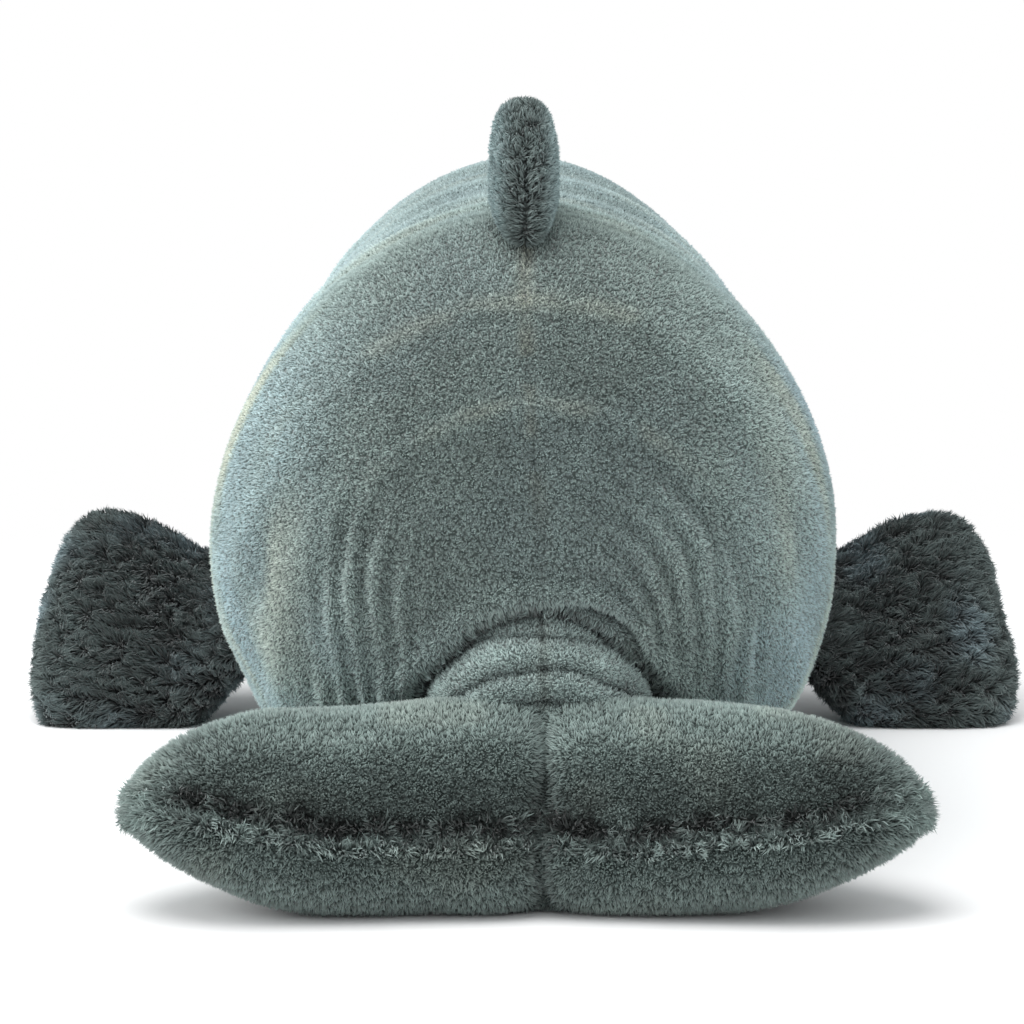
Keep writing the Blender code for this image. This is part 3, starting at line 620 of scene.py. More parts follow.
def fan_folds(p):
    """Folds that rise beside the tail stock and lean in towards their tops, and broad swells beyond them."""
    x, z = p[:, 0], p[:, 2]
    left = x < 0
    foot = 0.060 + 0.015 * smooth_step(0.015, -0.015, x)
    reach, turned = np.hypot(x - REAR_MIDDLE, (z - foot) * 0.85), np.degrees(np.arctan2(z - foot, np.abs(x)))
    wander = 0.0022 * noise(p, 0.030, 11) + 0.0012 * noise(p, 0.014, 12)
    first, spacing, spread = 0.040, np.where(left, 0.0076, 0.0070), 1 + 0.25 * smooth_step(0, 60, turned)
    phase = (reach / spread + 0.9 * wander - first) / spacing
    crest = (hump(phase - np.floor(phase), 0.5, 0.20) - 0.34) * (0.75 + 0.95 * noise(p, 0.026, 13))
    crest = crest * smooth_step(0.036, 0.044, reach) * smooth_step(0.090, 0.064, reach)
    radius, _ = rear_polar(p)
    broad = np.sin(math.tau * (radius + 1.5 * wander) / 0.021)
    broad = broad * smooth_step(0.062, 0.078, radius) * smooth_step(0.125, 0.100, radius)
    fan = smooth_step(np.where(left, 60, 78), np.where(left, 20, 40), turned) * smooth_step(-60, -25, turned)
    return MM * (2.4 * crest + 0.9 * broad) * fan * on_rear(p)


def arc_folds(p):
    radius, angle = rear_polar(p)
    arcs = sum(share * hump(radius, place, width) for place, width, share in ARCS)
    return 1.2 * MM * arcs * smooth_step(38, 66, angle) * on_rear(p)


def ripples(p):
    height = 0
    for place, width, rise in RIPPLES:
        bow = place + 0.10 * np.abs(p[:, 0]) + 0.006 * noise(p, 0.05, int(place * 1000))
        height = height + rise * hump(p[:, 1], bow, width)
    return MM * height * smooth_step(0.06, 0.13, p[:, 2]) * (0.7 + 0.5 * noise(p, 0.06, 21))


def body_folds(p):
    """Height of the folds of the body's fabric."""
    lumps = 1.2 * noise(p, 0.050, 31) + 0.45 * noise(p, 0.020, 32)
    seam = hump(off_middle(p), 0, 0.0020) * smooth_step(0.09, 0.12, p[:, 2])
    seam = seam * smooth_step(0.42, 0.36, p[:, 1])
    return crease_folds(p) + fan_folds(p) + arc_folds(p) + ripples(p) + MM * (lumps - 1.1 * seam)


def body_fields(p):
    """Shares of cream and of blue in the pile's colour, and how light it is, which is painted light and
    shade.
    """
    x, y, z = np.abs(p[:, 0]), p[:, 1], p[:, 2]
    radius, angle = rear_polar(p)
    behind = smooth_step(0.02, -0.02, y)
    bands = p * np.array([0.35, 1.0, 0.22])
    streak = 0.5 * noise(bands, 0.008, 41) + noise(bands, 0.017, 42)
    flank = smooth_step(0.066, 0.092, x) * smooth_step(0.02, 0.06, z) * smooth_step(0.20, 0.16, z)
    flank = flank * smooth_step(-0.1, 0.8, streak) * (0.6 + 0.4 * (p[:, 0] < 0)) * smooth_step(0.01, -0.02, y)
    middle = hump(off_middle(p), 0, 0.0028) * smooth_step(0.11, 0.16, z) * smooth_step(0.05, 0.0, y)
    arcs = (hump(radius, 0.087, 0.0022) + hump(radius, 0.113, 0.0025)) * smooth_step(50, 74, angle) * behind
    cream = 0.78 * flank + 0.65 * middle * patchy(p, 0.009, 43, -0.2, 0.4)
    cream = cream + 0.45 * arcs * patchy(p, 0.015, 44, -0.2, 0.4)
    cream = cream + 0.28 * patchy(p * np.array([0.3, 1, 1]), 0.018, 45, 0.10, 0.7) * (1 - behind)
    blue = 0.60 * smooth_step(0.045, 0.100, x) * smooth_step(0.8, -0.6, streak)
    blue = blue + 0.30 * smooth_step(0.0, 0.1, y) + 0.15 * patchy(p, 0.025, 47, -0.1, 0.6)
    h = body_folds(p) / MM
    # Painted light on the ridges of the folds and painted shade in their creases.
    light = 0.20 * np.clip(h, -3.5, 0) + 0.26 * np.clip(h, 0, 2.4) - 0.03
    # Painted shade in the crease round the tail stock.
    light = light - 2.4 * fading(stock_distance(p), 0.0052) * smooth_step(-0.02, -0.05, y)
    # Painted light, like sheen on pile seen edge-on, on the flanks and, less, over the back ahead of the
    # rear.
    light = light + 1.10 * smooth_step(0.026, 0.104, x) + 0.25 * smooth_step(-0.01, 0.06, y)
    # Painted light bounced from the floor on the lower sides of the rear.
    light = light + 0.70 * smooth_step(0.030, 0.065, x) * smooth_step(0.12, 0.04, z) * behind
    return np.clip(cream, 0, 1), np.clip(blue, 0, 0.8), light


def ground_shade(p):
    """How nearly the fabric lies on the ground, from 0 to 1, where shade is painted."""
    return smooth_step(0.0030, 0.0004, p[:, 2])


# Body


def mouth_path():
    """A line across the front of the head, low down and a little upturned at its ends."""
    side = np.linspace(0, 1, 60)
    y = BARREL + HEAD_DOME * np.sin(QUARTER * (0.52 + 0.48 * side**0.7))
    z = 0.062 + 0.012 * (1 - side) ** 2
    half_width, _, bottom, widest = body_sections(np.minimum(y, BARREL + HEAD_DOME * 0.9995))
    down = np.clip((widest - z) / np.maximum(widest - bottom, 1e-6), 0, 1)
    x = half_width * (1 - down**BELLY_ROUNDNESS) ** (1 / BELLY_ROUNDNESS)
    right = np.stack([x, y, z], axis=1)[(bottom < z) & (x > 2 * MM)]
    return np.vstack([right, (right * np.array([-1, 1, 1]))[::-1]])


MOUTH = mouth_path()
EYE_GAP, MOUTH_GAP = 0.5 * MM, 1.6 * MM


def clear_of_face(p):
    """Off the eyes, and off the stitched line of the mouth, which lies in a furrow without pile."""
    off_eyes = np.hypot(p[:, 1] - EYE_PLACE, p[:, 2] - EYE_HEIGHT)
    clear = (off_eyes > EYE_RADIUS + EYE_GAP) | (np.abs(p[:, 0]) < 0.02)
    near = np.flatnonzero((p[:, 1] > BARREL + 0.03) & (p[:, 2] > 0.045) & (p[:, 2] < 0.085))
    for chunk in np.array_split(near, max(1, len(near) // 4000)):
        far = np.linalg.norm(p[chunk][:, None] - MOUTH[None], axis=2).min(axis=1)
        clear[chunk] &= far > MOUTH_GAP
    return clear


SIDES = (("left", lambda p: p[:, 0] < 0), ("right", lambda p: p[:, 0] >= 0))
BACK_CLOTH, BACK_PILE = (body_cloth, "body", "back_pile"), (body_pile, "body", "back_pile")
BELLY_PILE = (belly_pile, "body", "belly_pile")
BELLY_TOP = 0.012

body = body_surface(120, 110, 60, 288) if FINE else body_surface(60, 60, 30, 160)
body.push(body_folds(body.points))
for word, on_side in SIDES:
    panel = body.part(lambda p: on_side(p) & (p[:, 2] > BELLY_SEAM_HEIGHT) & outside_stock(p))
    dress("body_skin_" + word, panel, BACK_CLOTH, "body_panel_" + word, body_fields)
belly = body.part(lambda p: (p[:, 2] <= BELLY_SEAM_HEIGHT) & outside_stock(p))
dress("belly_skin", belly, BELLY_PILE, "belly_panel", body_fields)

body_inside = body_surface(50, 50, 24, 120, 4.5 * MM)
body_inside.push(body_folds(body_inside.points) - 0.5 * MM)
stuff("body_filling", body_inside, "body", "body_stuffing")


def body_lean(p):
    """The nap lies towards the tail, and turns down over the rear and in towards the crease."""
    part = off_middle(p)
    lie = np.stack([0.45 * np.sign(part) * hump(part, 0, 0.003),
                    -0.25 - 0.85 * smooth_step(-0.055, 0.005, p[:, 1]), np.full(len(p), -0.12)], axis=1)
    near = fading(stock_distance(p), 0.006)[:, None]
    inward = np.array([0, -STOCK_BACK, STOCK_HEIGHT]) - p
    return lie * (1 - near) + unit(inward) * near * 0.9


def body_length(p):
    """Longest over the crease above the tail stock."""
    near = fading(stock_distance(p) - 0.002, 0.005) * smooth_step(0.06, 0.085, p[:, 2])
    return MM * (1.8 + 2.2 * near + 0.5 * smooth_step(-0.05, 0.02, p[:, 1]) + 0.2 * noise(p, 0.02, 51))


# Zones along the back: name, start, end, strands per square millimetre, and a strand's radius in millimetres.
ZONES = (("rear", -1.0, -0.035, 1.75, 0.46), ("loin", -0.035, 0.045, 1.30, 0.50),
         ("back", 0.045, 0.200, 0.85, 0.56), ("shoulder", 0.200, 0.340, 0.70, 0.60),
         ("head", 0.340, 1.0, 0.80, 0.56))
for number, (zone, start, end, density, thick) in enumerate(ZONES):
    for word, on_side in SIDES:
        patch = body.part(lambda p: on_side(p) & (p[:, 1] >= start) & (p[:, 1] < end)
                          & (p[:, 2] > BELLY_TOP) & outside_stock(p))
        pile(f"body_pile_{zone}_{word}", patch, BACK_PILE, density * DENSITY, body_length, thick * MM,
             100 + number * 10 + (word == "left"), lean=body_lean, clump=0.32, clump_size=1.7 * MM,
             gap_shade=0.45, stray=0.16, keep=clear_of_face, fields=body_fields)


def above_stock(p):
    distance = stock_distance(p)
    return (distance > 0.0) & (distance < 6 * MM) & (p[:, 2] > 0.062) & (p[:, 1] < -0.035)


def crease_lean(p):
    """Tufts over the crease above the tail stock hang in over it, a little astray along it."""
    inward = unit(np.array([STOCK_MIDDLE, -STOCK_BACK, STOCK_HEIGHT - 0.010]) - p)
    return inward * 1.1 + np.array([1.0, 0, 0]) * 0.5 * noise(p, 0.005, 55)[:, None]


def belly_density(p):
    """Thinner where the belly rests on the ground."""
    return np.where(p[:, 2] > 3 * MM, 0.9, 0.25) * DENSITY


pile("body_crease_tufts", body.part(above_stock), BACK_PILE, 1.5 * DENSITY, 4.4 * MM, 0.42 * MM, 190,
     lean=crease_lean, clump=0.9, clump_size=2.6 * MM, gap_shade=1.3, stray=0.18, bend=0.5, fields=body_fields)
pile("belly_pile", body.part(lambda p: p[:, 2] <= BELLY_TOP), BELLY_PILE, belly_density, 2.0 * MM,
     0.5 * MM, 180, lean=(0, -0.6, 0), fields=body_fields)


# Dorsal fin


def fin_surface(rings, sides, inset=0.0):
    front, rear = FIN_FRONT - inset, inset - FIN_BACK
    y = front + (rear - front) * (1 - np.cos(math.pi * np.arange(1, rings) / rings)) / 2
    share = (FIN_FRONT - y) / (FIN_FRONT + FIN_BACK)
    axis_height = BODY_HEIGHT + SEAT_GAP + FIN_ROOT_RADIUS
    end = dome(2 * share - 1, FIN_ROUNDNESS)
    root = (axis_height - body_sections(y)[1]) * end
    width = np.minimum(root, FIN_THICKNESS / 2 * end)
    rise = width + (BODY_HEIGHT + FIN_RISE - axis_height) * along(FIN_SHARES, share, 1)
    angle = ring_angles(sides, -QUARTER)
    across_up, up = rounded(angle, FIN_ROUNDNESS)
    across_down, down = np.cos(angle), np.sin(angle)
    over = down > 0
    x = np.maximum(width - inset, 1 * MM)[:, None] * np.where(over, across_up, across_down)[None]
    z = axis_height + np.where(over, (rise - inset)[:, None] * up[None],
                               (root + 2 * MM)[:, None] * down[None])
    rings = np.stack([x, np.broadcast_to(y[:, None], x.shape), z], axis=-1)
    return Surface(rings, np.array([0, front, axis_height]), np.array([0, rear, axis_height]))


def fin_folds(p):
    """Lumps, a fuller left side, and a groove along the seam."""
    x, height = p[:, 0], p[:, 2] - BODY_HEIGHT
    groove = hump(x, 0, 0.0020) * smooth_step(0.004, 0.006, height) * smooth_step(0.026, 0.020, height)
    return MM * (0.5 * noise(p, 0.012, 61) + 1.0 * smooth_step(0.002, 0.008, -x) - 1.2 * groove)


def fin_crown(p):
    return smooth_step(0.019, 0.027, p[:, 2] - BODY_HEIGHT)


def fin_lean(p):
    """The pile parts at the seam round the fin's edge, and points up and back from its root."""
    parted = 0.75 * np.sign(p[:, 0]) * hump(p[:, 0], 0, 0.006) * (1 - fin_crown(p))
    return np.stack([parted, np.full(len(p), -0.15), np.full(len(p), 0.45)], axis=1)


def fin_length(p):
    """Longest along the seam at the edge."""
    at_seam = hump(p[:, 0], 0, 0.005) * (1 - 0.75 * fin_crown(p))
    return 2.7 * MM + 1.8 * MM * np.maximum(0.10 * fin_crown(p), at_seam)


def fin_fields(p):
    off_seam = smooth_step(0.002, 0.009, np.abs(p[:, 0]))
    return np.zeros(len(p)), 0.25 * off_seam, 0.8 * off_seam - 0.45 * (1 - off_seam)


def off_fin_seat(p):
    """Above the body's back, which is a little lower under the rear of the fin."""
    return p[:, 2] > BODY_HEIGHT - 0.002 - 0.004 * (p[:, 1] < -0.02)


fin = fin_surface(70, 64)
fin.push(fin_folds(fin.points))
for word, on_side in SIDES:
    dress("dorsal_fin_skin_" + word, fin.part(on_side), (fin_cloth, "dorsal_fin", "back_pile"),
          "dorsal_fin_panel_" + word)
    pile("dorsal_fin_pile_" + word, fin.part(lambda p: on_side(p) & off_fin_seat(p)),
         (fin_pile, "dorsal_fin", "back_pile"), 3.0 * DENSITY, fin_length, 0.36 * MM,
         200 + (word == "left"), lean=fin_lean, clump=0.50, clump_size=2.7 * MM, gap_shade=0.5, stray=0.2,
         bend=0.4, fields=fin_fields)
stuff("dorsal_fin_filling", fin_surface(40, 32, 5 * MM), "dorsal_fin", "dorsal_fin_stuffing")


# Flippers


def flipper_surface(side, rings, sides, inset=0.0):
    """The form of a flipper, and the middles of its sections."""
    joint = JOINTS["left_flipper_lift" if side < 0 else "right_flipper_lift"]
    axis = np.array(joint["pos_m"]) - SHIFT
    root_radius = FLIPPER_THICKNESS / 2 * FLIPPER_SHARES[0][2]
    ends = max(4, rings // 5)
    straight = 1 - FLIPPER_TIP_SHARE
    at_tip = np.sin(QUARTER * np.arange(ends * 2) / (ends * 2))
    place = np.concatenate([-np.cos(QUARTER * np.arange(1, ends) / ends), straight * np.arange(rings) / rings,
                            straight + FLIPPER_TIP_SHARE * at_tip])
    share = np.maximum(0, place)
    half_chord = FLIPPER_CHORD / 2 * along(FLIPPER_SHARES, share, 1)
    half_thick = FLIPPER_THICKNESS / 2 * along(FLIPPER_SHARES, share, 2)
    tilt = FLIPPER_ROOT_TILT + (FLIPPER_TILT - FLIPPER_ROOT_TILT) * along(FLIPPER_SHARES, share, 3)
    drop = np.hypot(half_chord * np.sin(tilt), half_thick * np.cos(tilt)) - SEAT_DEPTH
    height = axis[2] + (drop - axis[2]) * smooth_step(0, FLIPPER_DROOP_SHARE, share)
    tip = dome(np.maximum(0, share - straight) / FLIPPER_TIP_SHARE, FLIPPER_TIP_ROUNDNESS)
    root = place < 0
    half_chord = (half_chord - inset) * np.where(root, dome(place, FLIPPER_ROOT_ROUNDNESS), tip)
    half_thick = (half_thick - inset) * np.where(root, dome(place, 2.0), tip)
    away = np.where(root, place * (root_radius - inset), share * (FLIPPER_REACH - inset))
    centre = np.stack([axis[0] + side * away, axis[1] + FLIPPER_SWEEP * share, height], axis=1)
    chord = np.stack([-side * FLIPPER_RAKE_SHARE * share, np.cos(tilt), np.sin(tilt)], axis=1)
    up = np.stack([np.zeros_like(tilt), -np.sin(tilt), np.cos(tilt)], axis=1)
    angle = ring_angles(sides)[None, :, None]
    points = (centre[:, None] + (chord * half_chord[:, None])[:, None] * np.cos(angle)
              + (up * half_thick[:, None])[:, None] * np.sin(angle))
    start = axis + np.array([-side * (root_radius - inset), 0, 0])
    last = centre[-1] + np.array([side * FLIPPER_REACH * 0.001, 0, 0])
    return Surface(points, start, last), centre


def flipper_fields(p):
    """Paler towards the tip, and with painted shade where it lies on the ground."""
    edge = smooth_step(0.66, 0.98, (np.abs(p[:, 0]) - 0.107) / FLIPPER_REACH)
    # Painted shade where the flipper lies on the ground.
    light = 0.7 * noise(p, 0.008, 78) + 1.7 * edge - 1.2 * ground_shade(p)
    return np.zeros(len(p)), 0.3 * patchy(p, 0.02, 77, -0.2, 0.8), light


def make_flipper(word, side):
    """The two skins of a flipper with the pile of each, and the filling."""
    rides_on = word + "_flipper"
    flipper, middle = flipper_surface(side, 60, 96)
    lumps = 1.1 * noise(flipper.points, 0.022, 71 + side) + 0.5 * noise(flipper.points, 0.010, 73 + side)
    flipper.push(MM * lumps)
    order = np.argsort(middle[:, 0])

    def on_top(p):
        y, z = (np.interp(p[:, 0], middle[order, 0], middle[order, axis]) for axis in (1, 2))
        return (z - p[:, 2]) * math.cos(FLIPPER_TILT) - (y - p[:, 1]) * math.sin(FLIPPER_TILT) < 0

    def lean(p):
        swirl, rise = 0.7 * noise(p, 0.013, 75), 0.6 * noise(p, 0.009, 76)
        return np.stack([side * (0.50 + 0.2 * swirl), -0.20 + swirl, 0.05 + rise], axis=1)

    away_from_body = flipper.part(lambda p: np.abs(p[:, 0]) > np.abs(middle[:, 0]).min() + 2 * MM)
    for half, chosen in (("top", on_top), ("under", lambda p: ~on_top(p))):
        dress(f"flipper_{word}_{half}_skin", flipper.part(chosen), (limb_cloth, rides_on, "flipper_pile"),
              f"flipper_{word}_{half}_panel", flipper_fields)
        pile(f"flipper_{word}_{half}_pile", away_from_body.part(chosen),
             (limb_pile, rides_on, "flipper_pile"), 2.5 * DENSITY, 5.8 * MM, 0.40 * MM,
             300 + side * 5 + (half == "top"), lean=lean, clump=0.75,
             clump_size=2.9 * MM, stretch=(0.60, 0.8, 1), gap_shade=1.2, stray=0.14, bend=0.55,
             keep=lambda p: p[:, 2] > 1 * MM, fields=flipper_fields)
    inside, _ = flipper_surface(side, 20, 32, 4 * MM)
    stuff(f"flipper_{word}_filling", inside, rides_on, f"flipper_{word}_stuffing")


make_flipper("left", -1)
make_flipper("right", 1)


# Tail stock


def stock_surface(rings, sides, inset=0.0):
    """A ball that is drawn out sideways, narrower at its top and wider at its foot."""
    radius, reach = STOCK_RADIUS - inset, STOCK_WIDTH / 2 - inset
    x = rounded_ends(reach, rings)
    size = radius * dome(x / reach, STOCK_ROUNDNESS)
    angle = ring_angles(sides, math.pi)
    points = np.stack([np.broadcast_to(x[:, None], (len(x), sides)),
                       -STOCK_BACK + size[:, None] * np.cos(angle)[None],
                       STOCK_HEIGHT + size[:, None] * np.sin(angle)[None]], axis=-1)
    ends = [[way * reach, -STOCK_BACK, STOCK_HEIGHT] for way in (-1, 1)]
    points = np.vstack([points.reshape(-1, 3), ends])
    sag = dome(np.minimum(0, points[:, 2] - STOCK_HEIGHT) / radius, STOCK_ROUNDNESS)
    points[:, 0] = points[:, 0] / np.maximum(0.64, sag) * stock_taper(points[:, 2]) + STOCK_MIDDLE
    return Surface(points[:-2].reshape(len(x), sides, 3), points[-2], points[-1])


def stock_folds(p):
    """Small arched folds over the stock, between the crease above it and the fluke."""
    arch = np.hypot((p[:, 0] - ASKEW) / 1.30, p[:, 2] - 0.047) + 0.0010 * noise(p, 0.012, 81)
    folds = np.abs(np.sin(math.pi * (arch - 0.0065) / 0.0105)) ** 0.5 - 0.76
    folds = folds * smooth_step(0.008, 0.014, arch) * smooth_step(0.042, 0.036, arch)
    return MM * (2.7 * folds - 0.9 * hump(off_middle(p), 0, 0.0016) + 0.5 * noise(p, 0.010, 82))


def stock_fields(p):
    """Painted light on its folds and painted shade under the body, with a trace of cream along its seam."""
    above = smooth_step(0.010, 0.024, p[:, 1] + STOCK_BACK)
    # Painted light on the ridges of the folds, painted shade in their troughs and under the body.
    light = 0.75 * stock_folds(p) / MM + 0.30 - 1.1 * above
    return 0.15 * hump(off_middle(p), 0, 0.003), np.full(len(p), 0.1), light


def off_fluke_root(p):
    root_radius = FLUKE_CIRCLES[0][1]
    return np.hypot(p[:, 1] + FLUKE_BACK, p[:, 2] - root_radius) > root_radius - 1.0 * MM


stock = stock_surface(60, 200)
stock.push(stock_folds(stock.points))
for word, on_side in SIDES:
    panel = stock.part(lambda p: on_side(p) & off_fluke_root(p))
    dress("tail_stock_skin_" + word, panel, (body_cloth, "tail_stock", "back_pile"),
          "tail_stock_panel_" + word, stock_fields)
stock_inside = stock_surface(12, 32, 5 * MM).part(off_fluke_root)
stuff("tail_stock_filling", stock_inside, "tail_stock", "tail_stock_stuffing")
pile("tail_stock_pile", stock.part(lambda p: off_fluke_root(p) & (p[:, 1] < -STOCK_BACK + 0.012)),
     (body_pile, "tail_stock", "back_pile"), 2.0 * DENSITY, 1.7 * MM, 0.44 * MM, 400, lean=(0, -0.2, 0.25),
     clump=0.3, clump_size=1.7 * MM, gap_shade=0.3, stray=0.16, fields=stock_fields)


# Fluke


def fluke_size(share):
    """How much of its thickness the fluke has, from its middle to its tips."""
    return np.maximum(0, 1 - np.minimum(1, share) ** FLUKE_END_SHARPNESS) ** (1 / FLUKE_END_ROUNDNESS)


def fluke_rise(share):
    return FLUKE_TIP_RISE * np.minimum(1, share) ** FLUKE_RISE_POWER


def fluke_surface(rings, sides, inset=0.0):
    """Rounded sections across the fluke, each the hull of three circles, from the rear edge round."""
    reach = FLUKE_SPAN / 2 - inset
    x = rounded_ends(reach, rings)
    share = np.abs(x) / (FLUKE_SPAN / 2)
    size, rise, root = fluke_size(share), fluke_rise(share), -FLUKE_BACK - FLUKE_SWEEP * share**2
    chord = np.sqrt(np.maximum(0, 1 - share**FLUKE_CHORD_POWER))
    fine = np.linspace(0, math.tau, 181)[:-1] + math.pi
    ways = np.stack([np.cos(fine), np.sin(fine)], axis=1)
    loops = []
    for station in range(len(x)):
        radii = [radius * size[station] for _, radius in FLUKE_CIRCLES]
        centres = [(root[station] - offset * chord[station],
                    radii[k] - (SEAT_DEPTH if k else 0) + rise[station])
                   for k, (offset, _) in enumerate(FLUKE_CIRCLES)]
        support = np.stack([ways @ np.array(centre) + radius for centre, radius in zip(centres, radii)])
        best = support.argmax(axis=0)
        radii = np.maximum(0.4 * MM, np.array(radii) - inset)
        outline = np.array(centres)[best] + ways * radii[best][:, None]
        closed = np.vstack([outline, outline[:1]])
        run = np.concatenate([[0], np.cumsum(np.linalg.norm(np.diff(closed, axis=0), axis=1))])
        at = np.arange(sides) / sides * run[-1]
        loops.append(np.stack([np.full(sides, x[station]), np.interp(at, run, closed[:, 0]),
                               np.interp(at, run, closed[:, 1])], axis=1))
    ends = [np.array([way * reach, *loops[k][:, 1:].mean(axis=0)]) for way, k in ((-1, 0), (1, -1))]
    return Surface(np.stack(loops), *ends)


def off_fluke_seam(p):
    """Height above the seam round the fluke's edge, which wanders a little."""
    share = np.minimum(1, np.abs(p[:, 0]) / (FLUKE_SPAN / 2))
    line = p * np.array([1, 0, 0])
    wander = (0.0022 * noise(line, 0.030, 91) + 0.0010 * noise(line, 0.009, 92)) * (1 - share**4)
    return p[:, 2] - (FLUKE_SEAM_HEIGHT * fluke_size(share) + fluke_rise(share) + wander)


def behind_root(p, start, end):
    """0 before a distance behind the fluke's root, and 1 after another."""
    return smooth_step(-FLUKE_BACK - start, -FLUKE_BACK - end, p[:, 1])


def fluke_folds(p):
    """The groove of the seam, the crease down the middle, and the soft form of the top and the wings."""
    x, y, z = np.abs(p[:, 0]), p[:, 1], p[:, 2]
    share = x / (FLUKE_SPAN / 2)
    off_seam = off_fluke_seam(p)
    seam = (0.9 * hump(off_seam, 0, 0.0020) + 0.7 * hump(off_seam, 0, 0.0065)) * behind_root(p, 0.012, 0.030)
    seam = seam * (0.8 + 0.6 * noise(p, 0.011, 93)) * (1 - 0.8 * smooth_step(0.88, 1.0, share))
    off_crease = p[:, 0] - ASKEW - 0.0015 * noise(p, 0.02, 97)
    crease = 0.7 * hump(off_crease, 0, 0.0026) + 0.3 * hump(off_crease, 0, 0.0090)
    rear = smooth_step(-0.085, -0.105, y)
    over = smooth_step(0.036, 0.052, z)
    top = 4.5 * hump(off_crease, 0, 0.034) - 2.2 * hump(x, 0.108, 0.020) + 1.5 * smooth_step(0.09, 0.03, x)
    lobes = smooth_step(0.002, 0.024, np.abs(off_crease)) * smooth_step(0.90, 0.60, share)
    lumps = 1.0 * noise(p, 0.032, 94) + 0.4 * noise(p, 0.014, 95)
    return MM * (top * over + 1.8 * lobes * (0.45 + 0.55 * rear) + lumps
                 - 3.2 * seam - 7.0 * crease * (0.30 + 0.70 * rear))


def on_ground(p, heights):
    """Folds fade out where the form rests flat."""
    return heights * smooth_step(0.0004, 0.004, p[:, 2])


def fluke_fields(p):
    """Painted shade beside the seam with pale tufts in it, painted light over the top, paler at the tips, and
    painted shade in its creases and where it rests on the ground.
    """
    h = fluke_folds(p) / MM
    off_seam, rear, x = off_fluke_seam(p), behind_root(p, 0.015, 0.035), np.abs(p[:, 0])
    seam_shade_band = 0.9 * hump(off_seam, 0.0040, 0.0034) + 0.45 * hump(off_seam, 0.0110, 0.0090)
    seam_shade_band = seam_shade_band * (0.9 + 0.6 * noise(p, 0.010, 89) + 0.4 * noise(p, 0.004, 88)) * smooth_step(0.122, 0.100, x)
    tuft = hump(off_seam, -0.0012, 0.0022) * patchy(p, 0.006, 98, -0.3, 0.4)
    # Painted light on the ridges, and painted shade in the creases, beside the seam and on the ground.
    light = 0.14 * np.clip(h, -4, 2) + (0.55 * tuft - 1.6 * seam_shade_band) * rear - 0.7 * ground_shade(p)
    # Painted light over the top.
    light = light + 0.40 * smooth_step(0.036, 0.056, p[:, 2]) + 0.6 * smooth_step(0.105, 0.130, x)
    return 0.12 * patchy(p, 0.02, 96, 0.2, 0.8), np.full(len(p), 0.1), light


def at_seam(p):
    """How near points are to the seam round the edge, from 0 to 1."""
    return hump(off_fluke_seam(p), 0, 0.0045) * behind_root(p, 0.004, 0.026)


def fluke_lean(p):
    """The pile falls over the rear edge towards its seam, leans out at the tips and in at the crease."""
    x = p[:, 0]
    across = 0.25 * np.sign(x) * smooth_step(0.09, 0.125, np.abs(x))
    across = across + 0.5 * np.sign(ASKEW - x) * hump(x, ASKEW, 0.005)
    fall = np.where(off_fluke_seam(p) > 0, -0.35, -0.05) * behind_root(p, 0.010, 0.040)
    return np.stack([across, np.full(len(p), -0.15), fall], axis=1)


def fluke_length(p):
    """Longest at the seam and towards the tips."""
    tips = smooth_step(0.085, 0.125, np.abs(p[:, 0]))
    return MM * (2.1 + 0.8 * tips + (1.6 + 1.6 * tips) * at_seam(p))


def tuft_lean(p):
    """Tufts at the seam stand off it to either side, and curl along it."""
    tips = np.sign(p[:, 0]) * smooth_step(0.095, 0.125, np.abs(p[:, 0]))
    away = np.where(off_fluke_seam(p) > 0, 0.25, -0.45) + 0.4 * noise(p, 0.006, 90)
    return np.stack([0.8 * noise(p, 0.007, 99) + 0.5 * tips, np.full(len(p), -0.2), away], axis=1)


def shows_on_fluke(p):
    """Off the ground, and not in the hollow of the tail stock, where the fluke's root nests."""
    return (stock_distance(p) > 0.5 * MM) & (p[:, 2] > 1.2 * MM)


FLUKE_CLOTH, FLUKE_PILE = (fluke_cloth, "fluke", "fluke_pile"), (fluke_pile, "fluke", "fluke_pile")
fluke = fluke_surface(90, 150)
fluke.push(on_ground(fluke.points, fluke_folds(fluke.points)))
for number, (word, chosen) in enumerate((("lower", lambda p: off_fluke_seam(p) <= 0),
                                         ("upper", lambda p: off_fluke_seam(p) > 0))):
    dress(f"fluke_{word}_skin", fluke.part(chosen), FLUKE_CLOTH, f"fluke_{word}_panel", fluke_fields)
    for wing, on_side in SIDES:
        seed = 500 + number * 2 + (wing == "left")
        patch = fluke.part(lambda p: chosen(p) & on_side(p) & shows_on_fluke(p))
        pile(f"fluke_{word}_pile_{wing}", patch, FLUKE_PILE, 2.1 * DENSITY, fluke_length, 0.42 * MM, seed,
             lean=fluke_lean, clump=0.33, clump_size=1.9 * MM, gap_shade=0.55, stray=0.16, fields=fluke_fields)
        pile(f"fluke_{word}_tufts_{wing}", patch.part(lambda p: at_seam(p) > 0.30), FLUKE_PILE, 1.5 * DENSITY,
             5.2 * MM, 0.40 * MM, seed + 20, lean=tuft_lean, clump=0.7, clump_size=3.0 * MM, gap_shade=1.2,
             stray=0.2, bend=0.5, fields=fluke_fields)
fluke_inside = fluke_surface(50, 90, 4 * MM)
fluke_inside.push(on_ground(fluke_inside.points, fluke_folds(fluke_inside.points)) - 0.8 * MM)
stuff("fluke_filling", fluke_inside, "fluke", "fluke_stuffing")


# Eyes and mouth


